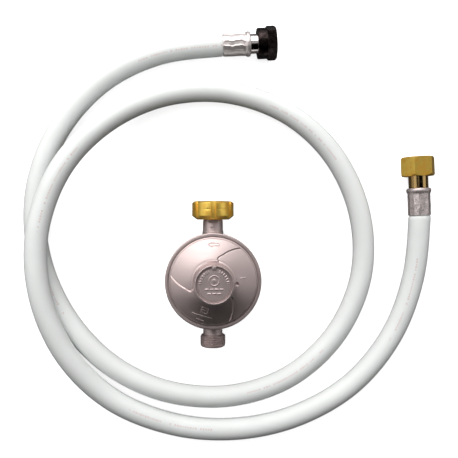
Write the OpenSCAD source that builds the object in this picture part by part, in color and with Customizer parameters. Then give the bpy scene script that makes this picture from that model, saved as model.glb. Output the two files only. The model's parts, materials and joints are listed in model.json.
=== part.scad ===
// Low-pressure gas hose with two swivel nuts, and the diaphragm regulator that it serves.
// The regulator lies on its base, dome up, inside a loose loop of the hose.

/* [Hose] */
// Outer diameter of the hose
hose_od = 17.5; // [15:0.5:18]
// Bore of the hose
hose_bore = 8; // [6:0.5:9]

/* [Hose fittings] */
// Length of each crimp ferrule
ferrule_l = 22; // [18:1:26]
// Width across the flats of both swivel nuts
nut_af = 24; // [23.5:0.5:25]
// Length of the round collar on the steel nut
steel_collar_l = 7.8; // [6:0.2:9]
// Length of the hexagon on the steel nut
steel_hex_l = 7.2; // [7:0.2:9]
// Length of the brass nut
brass_nut_l = 15.6; // [14:0.2:17]
// Stretch of plain insert showing behind the steel nut
steel_neck_l = 5.5; // [4:0.5:9]
// Stretch of plain insert showing behind the brass nut
brass_neck_l = 9.8; // [6:0.2:12]

/* [Regulator body] */
// Diameter over the crimped rim
rim_d = 75; // [72:0.5:80]
// Height of the rim's top above the base
rim_z = 31; // [31:0.5:33]
// Height of the pipe axis above the base
pipe_z = 17; // [16.8:0.2:18]
// Diameter of the foot ring
foot_d = 44; // [36:1:48]
// Length of the outlet thread
outlet_l = 9.8; // [9:0.2:13]

/* [Regulator cover] */
// Height of the spring tower's top above the base
tower_z = 57; // [54:0.5:60]
// Diameter of the spring tower at its top
tower_d = 29.2; // [28.6:0.2:31]
// Width of the notch in the tower's edge
tower_notch = 3.4; // [2:0.2:5]

/* [Inlet nut] */
// Diameter over the gripping lands
inlet_nut_d = 33; // [30:0.5:33.5]
// Length of the nut
inlet_nut_l = 14.5; // [13:0.5:16]
// Number of gripping grooves
inlet_grooves = 7; // [6:1:8]

/* [Mechanism] */
// Travel of the diaphragm from open to shut
travel = 3.2; // [2:0.2:3.4]
// Wire diameter of the main spring
spring_wire = 1.9; // [1.4:0.1:2.2]
// Turns of the main spring
spring_turns = 6; // [4:1:7]

/* [Hidden] */

// Colours
rubber_white = [0.87, 0.90, 0.89];
zinc = [0.62, 0.58, 0.57];
brass = [0.79, 0.62, 0.24];
plated_steel = [0.80, 0.77, 0.77];
black_steel = [0.10, 0.08, 0.08];
black_rubber = [0.12, 0.12, 0.13];
spring_steel = [0.55, 0.56, 0.58];
grey_plastic = [0.30, 0.31, 0.33];

// Clearances
run_gap = 0.05;
loose_gap = 0.25;

// Thread sizes: outer radius, and inner radius of the mating nut
m20_r = 10;
m20_minor_r = 9.19;
g_half_minor_r = 9.3;
w21_minor_r = 9.74;

// Hose route on the surface: x, y, and the lift of the hose above lying flat
hose_r = hose_od / 2;
nut_axis_z = nut_af / 2;
end_lift = nut_axis_z - hose_r;
steel_end = [7.9, 187];
steel_turn = 3.4;
brass_end = [168.5, 51.5];
brass_turn = 92.5;
route = [
  [-44, 180, 0], [-89, 157, 0], [-123, 118, 0], [-140, 70, 0], [-138, 19, 0], [-118, -29, 0],
  [-84, -67, 0], [-39, -90, 0], [13, -95, 0], [62, -80, 0], [100, -46, 0], [121, 1, 0],
  [120, 52, 0], [99, 99, 0], [62, 133, 0], [13, 150, 0], [-38, 147, 2], [-83, 125, 9.5],
  [-117, 88, 16.5], [-135, 39, 18.5], [-133, -12, 17.5], [-114, -59, 12], [-80, -96, 3.5],
  [-33, -117, 0], [18, -122, 0], [68, -112, 0], [113, -87, 0], [146, -48, 0], [164, -1, 0.5]
];
hose_sides = 12;
route_steps = 2;
// The hose's ends are squeezed inside the ferrules, up to the insert's shoulder
crimp_depth = 19.2;
crimp_r = 7.75;
crimp_bore_r = 4.3;
squeeze_from = 0.8;
squeeze_to = 0.05;

// Ferrule and insert
ferrule_bore_r = 7.9;
steel_ferrule_r = 8.75;
brass_ferrule_r = 9.1;
ferrule_lip_r = 9.85;
ferrule_lip_l = 3;
ferrule_end_t = 1.5;
groove_r = 5.6;
barb_r = 4.1;
insert_bore_r = 3;
steel_neck_r = 7.65;
brass_neck_r = 7.85;
nut_wall = 2.8;
flange_t = 2.4;
gasket_t = 1.6;
steel_collar_r = 12.15;

// Regulator casting
rim_r = rim_d / 2;
lip_t = 1;
seat_z = rim_z - 4.5;
seat_r = 31;
clamp_t = 1.2;
cover_r = rim_r - 1.3;
neck_r = 7.9;
outlet_neck_r = 7.65;
inlet_neck_end = 47.6;
outlet_start = 43.2;
outlet_end = outlet_start + outlet_l;
outlet_bore_r = 5.5;
boss_y = 23;
boss_r = 5.5;
boss_top_z = 21.3;
passage_r = 3.65;
pad_r = 8;
floor_z = 3.4;
tail_bore_r = 6.05;
tail_seat_y = 33;

// Cover and tower
dome_r = rim_r - 2.9;
dome_edge_z = rim_z + 0.8;
dome_top_z = rim_z + 7;
cover_t = 1.9;
tower_r = tower_d / 2;
tower_bore_r = tower_r - 1.6;
cap_seat_r = tower_r - 1.1;
cap_t = 1.5;
cap_top_z = tower_z - 1.3;
adjuster_t = 3.4;
adjuster_z = cap_top_z - cap_t - adjuster_t - 0.3;
vent_at = [18, -1.5];
vent_r = 1.2;

// Diaphragm stack, at rest with the valve open
clamp_z = seat_z;
web_z = clamp_z - travel + 0.1;
web_t = 1;
plate_r = 21;
plate_t = 1.2;
stem_r = 3;
stud_r = 2;
spring_r = 9.5;
spring_z0 = web_z + web_t + plate_t + 0.1;
spring_z1 = adjuster_z - 0.05;

// Lever: pivot place, arm length and the angle it turns as the diaphragm rises
pivot_y = 15.5;
pivot_z = 10.5;
pad_drop = pipe_z - pivot_z;
lever_turn = asin(travel / pivot_y);
pin_r = 1.5;
ear_x = 4.3;
ear_t = 2;
nozzle_tip_y = 20;

// Inlet nut and tail
inlet_nut_r = inlet_nut_d / 2;
inlet_nut_y = 47.9;
tail_neck_r = 7.6;
groove_w = 4.4;
groove_depth = 1.9;

// ---------- general shapes ----------

// A round solid along +X from x0 to x1
module rod_x(x0, x1, r, fn = 48) {
  translate([x0, 0, 0]) rotate([0, 90, 0]) cylinder(h = x1 - x0, r = r, $fn = fn);
}

// A round solid along +Y from y0 to y1, at height z
module rod_y(y0, y1, r, z = pipe_z) {
  translate([0, y0, z]) rotate([-90, 0, 0]) cylinder(h = y1 - y0, r = r, $fn = 48);
}

// A profile of [distance along, radius] points turned about +X
module turned_x(profile) {
  rotate([90, 0, 90]) rotate_extrude($fn = 64) polygon([for (p = profile) [p[1], p[0]]]);
}

// The same about +Y at the pipe's height
module turned_y(profile) {
  translate([0, 0, pipe_z]) rotate([-90, 0, 0]) rotate_extrude($fn = 64)
    polygon([for (p = profile) [p[1], p[0]]]);
}

// ---------- hose ----------

function turn_dir(a) = [cos(a), sin(a), 0];
start_pt = concat(steel_end, [end_lift]);
finish_pt = concat(brass_end, [end_lift]);

// The route with both ends, and one more point each way to give the end tangents
all_pts = concat([start_pt], route, [finish_pt]);
ghost_a = start_pt + 42 * turn_dir(steel_turn);
ghost_b = finish_pt + 42 * turn_dir(brass_turn);
ctrl = concat([ghost_a], all_pts, [ghost_b]);

function spline(a, b, c, d, t) =
  0.5 * (2 * b + t * (c - a) + t * t * (2 * a - 5 * b + 4 * c - d) + t * t * t * (3 * b - a - 3 * c + d));
function on_surface(p) = [p[0], p[1], max(0, p[2]) + hose_r];

// Centre line between the ferrules
free_line = [
  for (i = [1 : len(ctrl) - 3], k = [0 : route_steps - 1]) if (i + k > 1)
    on_surface(spline(ctrl[i - 1], ctrl[i], ctrl[i + 1], ctrl[i + 2], k / route_steps))
];
start_c = on_surface(start_pt);
finish_c = on_surface(finish_pt);
// Each entry is a centre, an outer radius and a bore radius
hose_line = concat(
  [[start_c + crimp_depth * turn_dir(steel_turn), crimp_r, crimp_bore_r],
   [start_c - squeeze_to * turn_dir(steel_turn), crimp_r, crimp_bore_r],
   [start_c - squeeze_from * turn_dir(steel_turn), hose_r, hose_bore / 2]],
  [for (p = free_line) [p, hose_r, hose_bore / 2]],
  [[finish_c - squeeze_from * turn_dir(brass_turn), hose_r, hose_bore / 2],
   [finish_c - squeeze_to * turn_dir(brass_turn), crimp_r, crimp_bore_r],
   [finish_c + crimp_depth * turn_dir(brass_turn), crimp_r, crimp_bore_r]]
);

function unit(v) = v / norm(v);
function tangent(i) = unit(
  hose_line[min(i + 1, len(hose_line) - 1)][0] - hose_line[max(i - 1, 0)][0]);
function ring(i, r) = let (t = tangent(i), s = unit(cross(t, [0, 0, 1])), u = cross(s, t))
  [for (k = [0 : hose_sides - 1]) let (a = 360 * k / hose_sides - 90)
    hose_line[i][0] + r * (cos(a) * s + sin(a) * u)];

module swept_hose() {
  n = len(hose_line);
  m = hose_sides;
  outer = [for (i = [0 : n - 1]) each ring(i, hose_line[i][1])];
  inner = [for (i = [0 : n - 1]) each ring(i, hose_line[i][2])];
  o = n * m;
  walls = [for (i = [0 : n - 2], k = [0 : m - 1]) let (a = i * m + k, b = i * m + (k + 1) % m)
    each [[a, b, b + m], [a, b + m, a + m], [o + a, o + b + m, o + b], [o + a, o + a + m, o + b + m]]];
  caps = [for (k = [0 : m - 1]) let (b = (k + 1) % m, e = (n - 1) * m)
    each [[k, o + k, o + b], [k, o + b, b], [e + k, e + b, o + e + b], [e + k, o + e + b, o + e + k]]];
  polyhedron(points = concat(outer, inner), faces = concat(walls, caps), convexity = 8);
}

module hose() {
  color(rubber_white) swept_hose();
}

// ---------- hose fittings, drawn along +X with the ferrule's rear edge at x = 0 ----------

module at_steel_end() {
  translate([steel_end[0], steel_end[1], nut_axis_z]) rotate([0, 0, steel_turn]) children();
}

module at_brass_end() {
  translate([brass_end[0], brass_end[1], nut_axis_z]) rotate([0, 0, brass_turn]) children();
}

// Sleeve with a rolled rear edge, eight pressed grooves and a flared front lip
module ferrule(r) {
  front = ferrule_l - ferrule_end_t;
  lip = ferrule_l - ferrule_lip_l;
  difference() {
    turned_x([
      [0, ferrule_bore_r + 0.95], [0.4, r], [lip - 1.2, r], [lip, ferrule_lip_r - 0.2],
      [lip + 0.5, ferrule_lip_r], [ferrule_l - 0.8, ferrule_lip_r], [ferrule_l, ferrule_lip_r - 0.9],
      [ferrule_l, groove_r + 0.1], [front, groove_r + 0.1], [front, ferrule_bore_r], [0, ferrule_bore_r]
    ]);
    for (k = [0 : 7]) rotate([360 * k / 8, 0, 0])
      translate([2, 0, r + 1.75]) rotate([0, 90, 0]) cylinder(h = lip - 4.5, r = 2, $fn = 24);
  }
}

// Barbed tube, groove for the ferrule, plain neck, and the flange that carries the nut
module insert(neck_r, neck_l, flange_r) {
  front = ferrule_l - ferrule_end_t;
  flange_x = ferrule_l + neck_l + nut_wall + 0.1;
  turned_x([
    [2, insert_bore_r], [2, barb_r - 0.5], [3, barb_r],
    for (k = [1 : 4]) each [[3 + 3 * k, barb_r], [3 + 3 * k, barb_r - 0.4], [3.8 + 3 * k, barb_r]],
    [front - 1.2, barb_r], [front - 1.2, ferrule_bore_r - 0.1], [front - 0.05, ferrule_bore_r - 0.1],
    [front - 0.05, groove_r], [ferrule_l + 0.05, groove_r], [ferrule_l + 0.05, neck_r],
    [flange_x, neck_r], [flange_x, flange_r], [flange_x + flange_t, flange_r],
    [flange_x + flange_t, insert_bore_r]
  ]);
}

// Flat sealing ring that lies on the insert's flange inside the nut
module nut_gasket(neck_l, r) {
  x = ferrule_l + neck_l + nut_wall + 0.1 + flange_t + 0.02;
  turned_x([[x, insert_bore_r + 1], [x, r], [x + gasket_t, r], [x + gasket_t, insert_bore_r + 1]]);
}

// Hexagonal prism along +X with its corners turned back to a cone at the marked ends
module hex_prism(x0, x1, rear_cut, front_cut) {
  corner_r = nut_af / 2 / cos(30);
  slope = 1.732;
  past = 0.4;
  intersection() {
    translate([x0, 0, 0]) rotate([0, 90, 0]) rotate([0, 0, 30])
      cylinder(h = x1 - x0, r = corner_r, $fn = 6);
    rotate([15, 0, 0]) turned_x([
      [x0, 0], [x0, corner_r - rear_cut], [x0 + (rear_cut + past) / slope, corner_r + past],
      [x1 - (front_cut + past) / slope, corner_r + past], [x1, corner_r - front_cut], [x1, 0]
    ]);
  }
}

// The nut's inside: hole for the neck, room for flange and gasket, then the thread's wall
module nut_cavity(x0, x1, hole_r, thread_r) {
  room = nut_wall + flange_t + gasket_t + 1.4;
  turned_x([
    [x0 - 1, 0], [x0 - 1, hole_r], [x0 + nut_wall, hole_r], [x0 + nut_wall, thread_r + 0.75],
    [x0 + room, thread_r + 0.75], [x0 + room, thread_r], [x1 + 1, thread_r], [x1 + 1, 0]
  ]);
}

// Lead-in cone at the nut's mouth
module mouth_cone(x1, thread_r) {
  turned_x([[x1 - 0.8, 0], [x1 - 0.8, thread_r - 0.01], [x1 + 0.2, thread_r + 0.99], [x1 + 0.2, 0]]);
}

module steel_ferrule() {
  color(plated_steel) at_steel_end() ferrule(steel_ferrule_r);
}

module steel_insert() {
  color(plated_steel) at_steel_end() insert(steel_neck_r, steel_neck_l, 9);
}

module steel_nut() {
  x0 = ferrule_l + steel_neck_l;
  x1 = x0 + steel_collar_l;
  x2 = x1 + steel_hex_l;
  color(black_steel) at_steel_end() difference() {
    union() {
      turned_x([
        [x0, 0], [x0, steel_collar_r - 0.9], [x0 + 0.9, steel_collar_r],
        [x1, steel_collar_r], [x1, 0]
      ]);
      hex_prism(x1 - 0.5, x2, 1.2, 1.3);
    }
    nut_cavity(x0, x2, steel_neck_r + loose_gap, m20_minor_r);
    mouth_cone(x2, m20_minor_r);
  }
}

module steel_nut_gasket() {
  color(black_rubber) at_steel_end() nut_gasket(steel_neck_l, 8.9);
}

module brass_ferrule() {
  color(plated_steel) at_brass_end() ferrule(brass_ferrule_r);
}

module brass_insert() {
  color(brass) at_brass_end() insert(brass_neck_r, brass_neck_l, 9.1);
}

module brass_nut() {
  x0 = ferrule_l + brass_neck_l;
  x1 = x0 + brass_nut_l;
  color(brass) at_brass_end() difference() {
    hex_prism(x0, x1, 1.6, 1.6);
    nut_cavity(x0, x1, brass_neck_r + loose_gap, g_half_minor_r);
    mouth_cone(x1, g_half_minor_r);
  }
}

module brass_nut_gasket() {
  color(black_rubber) at_brass_end() nut_gasket(brass_neck_l, 9);
}

// ---------- regulator casting ----------

// Bowl with a foot ring, a clamping seat and a rim rolled over the cover
module bowl() {
  foot_r = foot_d / 2;
  rotate_extrude($fn = 96) polygon([
    [0, 0], [pad_r, 0], [pad_r + 0.8, 0.8], [foot_r - 6, 0.8], [foot_r - 5.2, 0], [foot_r, 0],
    [foot_r + 3, 1.6], [rim_r - 5.4, 14], [rim_r - 3.6, 20], [rim_r - 0.8, 24], [rim_r, 25],
    [rim_r, rim_z - 0.9], [rim_r - 0.9, rim_z], [rim_r - 2.1, rim_z], [rim_r - 2.1, rim_z - lip_t],
    [cover_r + 0.1, rim_z - lip_t], [cover_r + 0.1, seat_z], [seat_r, seat_z],
    [rim_r - 7.6, 16.5], [foot_r + 2, 4.4], [foot_r - 1, floor_z], [0, floor_z]
  ]);
}

// Turned outside of both pipe ends
module pipes() {
  turned_y([
    [boss_y, 0], [boss_y, boss_r - 0.6], [boss_y + 0.6, boss_r], [28, boss_r], [31, neck_r + 0.5],
    [40, neck_r + 0.3], [inlet_neck_end - 0.4, neck_r - 0.1],
    [inlet_neck_end, neck_r - 0.5], [inlet_neck_end, 0]
  ]);
  turned_y([
    [-outlet_end, 0], [-outlet_end, m20_r - 1.7], [-outlet_end + 0.8, m20_r - 0.5],
    [-outlet_end + 1.8, m20_r], [-outlet_start - 1, m20_r], [-outlet_start, m20_r - 1],
    [-outlet_start, outlet_neck_r],
    [-31, outlet_neck_r + 0.3], [-31, 0]
  ]);
}

// Passages: inlet seat for the tail, nozzle seat, and the outlet bore
module passages() {
  rod_y(tail_seat_y, inlet_neck_end + 1, tail_bore_r);
  rod_y(boss_y - 1, tail_seat_y + 0.1, passage_r);
  rod_y(-outlet_end - 1, -24, outlet_bore_r);
}

// Flat pocket on top of the inlet neck, where the tail is staked
module staking_pocket() {
  translate([-3.8, inlet_neck_end - 2.4, pipe_z + neck_r - 1]) cube([7.6, 3, 3]);
}

// Two ears that carry the lever's pin
module lever_ears() {
  for (side = [-1, 1]) {
    difference() {
      translate([side > 0 ? ear_x : -ear_x - ear_t, pivot_y - 3, floor_z - 0.4]) {
        cube([ear_t, 6, pivot_z - floor_z + 0.4]);
        translate([0, 3, pivot_z - floor_z + 0.4]) rotate([0, 90, 0]) cylinder(h = ear_t, r = 3, $fn = 32);
      }
      translate([0, pivot_y, pivot_z]) rod_x(-8, 8, pin_r + 0.02);
    }
  }
}

module regulator_body() {
  color(zinc) {
    difference() {
      union() {
        bowl();
        difference() {
          pipes();
          translate([0, 0, boss_top_z]) cylinder(h = rim_z, r = seat_r - 0.5, $fn = 96);
        }
      }
      passages();
      staking_pocket();
    }
    lever_ears();
  }
}

// Rise of the dome, from 0 at its edge to 1 at the tower's foot: nearly a cone
function dome_rise(t) = 0.75 * t + 0.25 * sin(90 * t);

function dome_line(lift) = [for (k = [0 : 6]) let (t = k / 6)
  [(dome_r - 0.9) * (1 - t) + (tower_r + 3) * t,
   dome_edge_z + 0.3 + (dome_top_z - dome_edge_z - 0.3) * dome_rise(t) + lift]];

// Solid under the dome's surface, lifted: what the raised marks are cut from
module dome_solid(lift) {
  rotate_extrude($fn = 96) polygon(concat(
    [[tower_bore_r + 1.4, dome_edge_z - 1], [dome_r - 0.9, dome_edge_z - 1]], dome_line(lift),
    [[tower_bore_r + 1.4, dome_top_z + lift]]
  ));
}

// Direction of a crease at a distance from the tower's axis
function crease_angle(r) = 52 + 1.84 * (33 - r) + (r < 22 ? 0.35 * (22 - r) * (r - 16) : 0);

// Swept fields between the creases: each steps up along one edge and tapers out behind it
module swept_fields() {
  for (side = [0 : 2]) rotate([0, 0, 120 * side]) linear_extrude(height = tower_z) polygon(concat(
    [for (k = [0 : 10]) let (r = 16.4 + 1.6 * k, a = crease_angle(r)) r * [cos(a), sin(a)]],
    [for (k = [9 : -1 : 1]) let (r = 16.4 + 1.6 * k, a = crease_angle(r) + 16 * sin(18 * k))
      r * [cos(a), sin(a)]]
  ));
}

// Flow arrow, drawn as a raised outline
module arrow_shape(edge) {
  polygon([
    [-4.2 + 2.2 * edge, 0], [-0.8 - edge, 1.7 - 2 * edge], [-0.8 - edge, 0.9 - edge], [4.2 - edge, 0.9 - edge],
    [4.2 - edge, -0.9 + edge], [-0.8 - edge, -0.9 + edge], [-0.8 - edge, -1.7 + 2 * edge]
  ]);
}

module raised_marks() {
  translate([0, 29.8, 0]) linear_extrude(height = tower_z) difference() {
    arrow_shape(0);
    arrow_shape(0.4);
  }
  translate([21.2, 2.8, 0]) cube([3.4, 0.6, tower_z]);
  rotate([0, 0, 250]) translate([21, 0, 0]) linear_extrude(height = tower_z) difference() {
    square([5, 6], center = true);
    square([4.2, 5.2], center = true);
  }
}

// Domed cover with its spring tower
module regulator_cover() {
  color(zinc) difference() {
    union() {
      rotate_extrude($fn = 96) polygon(concat(
        [[cover_r, seat_z + clamp_t], [cover_r, rim_z - lip_t - 0.05], [dome_r, rim_z - lip_t - 0.05],
         [dome_r, dome_edge_z - 0.6], [dome_r - 0.5, dome_edge_z]],
        dome_line(0),
        [[tower_r + 1.4, dome_top_z + 0.7], [tower_r + 0.7, dome_top_z + 2.2],
         [tower_r, tower_z - 0.6], [tower_r - 0.5, tower_z], [cap_seat_r, tower_z],
         [cap_seat_r, cap_top_z - cap_t - 0.1], [tower_bore_r, cap_top_z - cap_t - 0.1],
         [tower_bore_r, dome_top_z - 1], [tower_bore_r + 1.2, dome_top_z - cover_t]],
        [for (k = [0 : 5]) let (t = k / 5)
          [(tower_r + 3) * (1 - t) + (dome_r - 2.6) * t,
           dome_edge_z - 1.2 + (dome_top_z - dome_edge_z - 0.8) * dome_rise(1 - t)]],
        [[seat_r + 1, seat_z + clamp_t]]
      ));
      intersection() {
        dome_solid(0.6);
        swept_fields();
      }
      intersection() {
        dome_solid(0.35);
        raised_marks();
      }
    }
    translate([vent_at[0], vent_at[1], rim_z]) cylinder(h = 14, r = vent_r, $fn = 32);
    translate([-tower_notch / 2, cap_seat_r - 0.6, cap_top_z - cap_t]) cube([tower_notch, 4, 6]);
  }
}

// Pressed disc in the tower's mouth, with the tab that sits in the notch
module tower_cap() {
  color(zinc) {
    difference() {
      translate([0, 0, cap_top_z - cap_t]) cylinder(h = cap_t, r = cap_seat_r - 0.1, $fn = 96);
      translate([0, 0, cap_top_z - 0.4]) difference() {
        cylinder(h = 1, r = cap_seat_r - 0.9, $fn = 96);
        translate([0, 0, -1]) cylinder(h = 3, r = cap_seat_r - 1.3, $fn = 96);
      }
    }
    translate([-tower_notch / 2 + 0.15, cap_seat_r - 2.6, cap_top_z - cap_t + 0.1])
      cube([tower_notch - 0.3, 3.4, cap_t + 0.7]);
  }
}

// Threaded seat that sets the spring's load, with a hexagonal key hole
module spring_adjuster() {
  color(grey_plastic) translate([0, 0, adjuster_z]) difference() {
    cylinder(h = adjuster_t, r = tower_bore_r - 0.1, $fn = 64);
    translate([0, 0, -1]) cylinder(h = adjuster_t + 2, r = 4, $fn = 6);
    translate([0, 0, adjuster_t - 1.2]) difference() {
      cylinder(h = 2, r = tower_bore_r - 2, $fn = 64);
      translate([0, 0, -1]) cylinder(h = 4, r = 6.5, $fn = 64);
    }
  }
}

// ---------- mechanism ----------

// Helix with closed end turns
module coil_spring(r, wire_r, z0, z1, turns, per_turn = 16, sides = 6) {
  n = turns * per_turn;
  rise = z1 - z0 - 2 * wire_r;
  function lift(s) = let (e = 0.75) s < e ? 0 : s > turns - e ? rise : rise * (s - e) / (turns - 2 * e);
  pts = [for (i = [0 : n]) let (s = i / per_turn, a = 360 * s) each
    [for (k = [0 : sides - 1]) let (b = 360 * k / sides)
      [(r + wire_r * cos(b)) * cos(a), (r + wire_r * cos(b)) * sin(a),
       z0 + wire_r + lift(s) + wire_r * sin(b)]]];
  walls = [for (i = [0 : n - 1], k = [0 : sides - 1])
    let (a = i * sides + k, b = i * sides + (k + 1) % sides)
    each [[a, a + sides, b + sides], [a, b + sides, b]]];
  ends = [[for (k = [0 : sides - 1]) k], [for (k = [0 : sides - 1]) (n + 1) * sides - 1 - k]];
  polyhedron(points = pts, faces = concat(walls, ends), convexity = 8);
}

module main_spring() {
  color(spring_steel) coil_spring(spring_r, spring_wire / 2, spring_z0, spring_z1, spring_turns);
}

// Rubber disc: clamped bead, rolled convolution and a flat web under the plate
module diaphragm() {
  edge_r = cover_r - 0.3;
  top = clamp_z + clamp_t - 0.05;
  color(black_rubber) rotate_extrude($fn = 64) polygon([
    [stud_r + 0.15, web_z], [22.5, web_z],
    [24.5, web_z - 1.4], [27, web_z - 1.8], [29, web_z - 0.6], [30, clamp_z - 0.4],
    [seat_r - 0.5, clamp_z + 0.05], [edge_r, clamp_z + 0.05], [edge_r, top], [seat_r, top],
    [29, clamp_z + 0.4], [28, web_z + 0.4], [27, web_z - 0.8], [25, web_z - 0.4], [23.4, web_z + web_t],
    [stud_r + 0.15, web_z + web_t]
  ]);
}

// Pressed plate that spreads the spring's load, with a ring that centres the spring
module diaphragm_plate() {
  z = web_z + web_t + 0.05;
  color(plated_steel) rotate_extrude($fn = 64) polygon([
    [stud_r + 0.1, z], [plate_r - 0.6, z], [plate_r, z + 0.6], [plate_r, z + 2.2], [plate_r - 1, z + 2.2],
    [plate_r - 1, z + plate_t], [stud_r + 0.1, z + plate_t]
  ]);
}

module diaphragm_washer() {
  color(plated_steel) translate([0, 0, web_z - 0.85]) difference() {
    cylinder(h = 0.8, r = 8, $fn = 48);
    translate([0, 0, -1]) cylinder(h = 3, r = stud_r + 0.1, $fn = 32);
  }
}

// Stem with a window for the lever's tongue and a threaded stud above the shoulder
module diaphragm_stem() {
  shoulder = web_z - 0.9;
  window = pivot_z - travel;
  color(brass) difference() {
    union() {
      translate([0, 0, window - 2.6]) cylinder(h = shoulder - window + 2.6, r = stem_r, $fn = 48);
      translate([0, 0, shoulder - 0.1]) cylinder(h = web_z + web_t + plate_t + 4.6 - shoulder, r = stud_r, $fn = 32);
    }
    translate([-1.5, -5, window - 1.5]) cube([3, 10, 3]);
  }
}

module stem_nut() {
  z = web_z + web_t + plate_t + 0.1;
  color(brass) difference() {
    translate([0, 0, z]) cylinder(h = 3.2, r = 4.04, $fn = 6);
    translate([0, 0, z - 1]) cylinder(h = 6, r = stud_r + 0.05, $fn = 32);
  }
}

// Lever, drawn with the valve shut and turned open about its pin
module valve_lever() {
  color(plated_steel) translate([0, pivot_y, pivot_z]) rotate([lever_turn, 0, 0]) difference() {
    union() {
      rod_x(-ear_x + 0.3, ear_x - 0.3, 3);
      hull() {
        translate([-3, -4, -0.8]) cube([6, 4, 1.6]);
        translate([-1.2, -pivot_y + 4, -0.8]) cube([2.4, 1, 1.6]);
      }
      translate([-1.2, -pivot_y - 3.4, -0.8]) cube([2.4, 8, 1.6]);
      translate([-3.4, -0.9, 1]) cube([6.8, 2, pad_drop]);
      translate([0, 0.6, pad_drop]) rotate([-90, 0, 0]) cylinder(h = 2.7, r = 4.8, $fn = 48);
    }
    rod_x(-8, 8, pin_r + run_gap);
    translate([0, 1.9, pad_drop]) rotate([-90, 0, 0]) cylinder(h = 3, r = 3.85, $fn = 48);
  }
}

module valve_pad() {
  color(black_rubber) translate([0, pivot_y, pivot_z]) rotate([lever_turn, 0, 0])
    translate([0, 1.92, pad_drop]) rotate([-90, 0, 0])
      cylinder(h = nozzle_tip_y - pivot_y - 1.92 - 0.04, r = 3.8, $fn = 48);
}

module lever_pin() {
  color(spring_steel) translate([0, pivot_y, pivot_z]) {
    rod_x(-ear_x - ear_t - 0.6, ear_x + ear_t + 0.2, pin_r);
    rod_x(-ear_x - ear_t - 1.4, -ear_x - ear_t - 0.1, pin_r + 0.8);
  }
}

// Brass orifice with a raised seat towards the valve pad
module nozzle() {
  color(brass) difference() {
    turned_y([
      [nozzle_tip_y, 0], [nozzle_tip_y, 1.9], [nozzle_tip_y + 1, 2.8], [nozzle_tip_y + 1, 4.2],
      [boss_y - 0.05, 4.2], [boss_y - 0.05, passage_r - 0.05], [tail_seat_y - 1, passage_r - 0.05],
      [tail_seat_y - 1, 0]
    ]);
    rod_y(nozzle_tip_y - 1, tail_seat_y + 1, 1.25);
    rod_y(nozzle_tip_y + 4, tail_seat_y + 1, 2.5);
  }
}

// Tail screwed into the neck: shank, shoulder, neck through the nut, and sealing flange
module inlet_tail() {
  flange_y = inlet_nut_y + nut_wall + 0.1;
  color(brass) difference() {
    turned_y([
      [tail_seat_y + 0.05, 0], [tail_seat_y + 0.05, tail_bore_r - 0.45], [tail_seat_y + 0.5, tail_bore_r - 0.05],
      [inlet_neck_end + 0.05, tail_bore_r - 0.05], [inlet_neck_end + 0.05, tail_neck_r],
      [flange_y, tail_neck_r], [flange_y, 9.4], [flange_y + flange_t, 9.4], [flange_y + flange_t, 0]
    ]);
    rod_y(tail_seat_y - 1, flange_y + 5, 3.6);
    rod_y(flange_y - 1, flange_y + 5, 4.2);
  }
}

// Swivel nut with gripping grooves, a marking groove round its middle and a long rear cone
module inlet_nut() {
  y0 = inlet_nut_y;
  y1 = y0 + inlet_nut_l;
  mid = y0 + 0.55 * inlet_nut_l;
  r = inlet_nut_r;
  room = nut_wall + flange_t + gasket_t + 1.4;
  color(brass) difference() {
    turned_y([
      [y0, 0], [y0, r - 3.8], [y0 + 2.9, r], [mid - 0.7, r], [mid, r - 0.5], [mid + 0.7, r],
      [y1 - 1.3, r], [y1, r - 2], [y1, 0]
    ]);
    turned_y([
      [y0 - 1, 0], [y0 - 1, tail_neck_r + loose_gap], [y0 + nut_wall, tail_neck_r + loose_gap],
      [y0 + nut_wall, w21_minor_r + 0.6], [y0 + room, w21_minor_r + 0.6], [y0 + room, w21_minor_r],
      [y1 + 1, w21_minor_r], [y1 + 1, 0]
    ]);
    turned_y([[y1 - 0.8, 0], [y1 - 0.8, w21_minor_r - 0.01], [y1 + 0.2, w21_minor_r + 0.99], [y1 + 0.2, 0]]);
    for (k = [0 : inlet_grooves - 1]) translate([0, 0, pipe_z]) rotate([0, 360 * k / inlet_grooves, 0])
      translate([-groove_w / 2, y0 - 1, r - groove_depth]) cube([groove_w, inlet_nut_l + 2, groove_depth + 1]);
  }
}

module inlet_gasket() {
  y = inlet_nut_y + nut_wall + 0.1 + flange_t + 0.02;
  color(black_rubber) turned_y([[y, 4.6], [y, 9.3], [y + gasket_t, 9.3], [y + gasket_t, 4.6]]);
}

module inlet_filter() {
  y = inlet_nut_y + nut_wall - 0.85;
  color(brass) turned_y([[y, 0], [y, 4.15], [y + 1.6, 4.15], [y + 1.6, 0]]);
}

hose();
steel_ferrule();
steel_insert();
steel_nut();
steel_nut_gasket();
brass_ferrule();
brass_insert();
brass_nut();
brass_nut_gasket();
regulator_body();
regulator_cover();
tower_cap();
spring_adjuster();
main_spring();
diaphragm();
diaphragm_plate();
diaphragm_washer();
diaphragm_stem();
stem_nut();
valve_lever();
valve_pad();
lever_pin();
nozzle();
inlet_tail();
inlet_nut();
inlet_gasket();
inlet_filter();
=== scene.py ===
import json
import math

import bmesh
import bpy
import numpy as np
from bpy.props import FloatProperty, FloatVectorProperty, IntProperty, PointerProperty
from bpy.types import Operator, Panel, PropertyGroup
from mathutils import Matrix, Vector


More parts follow.
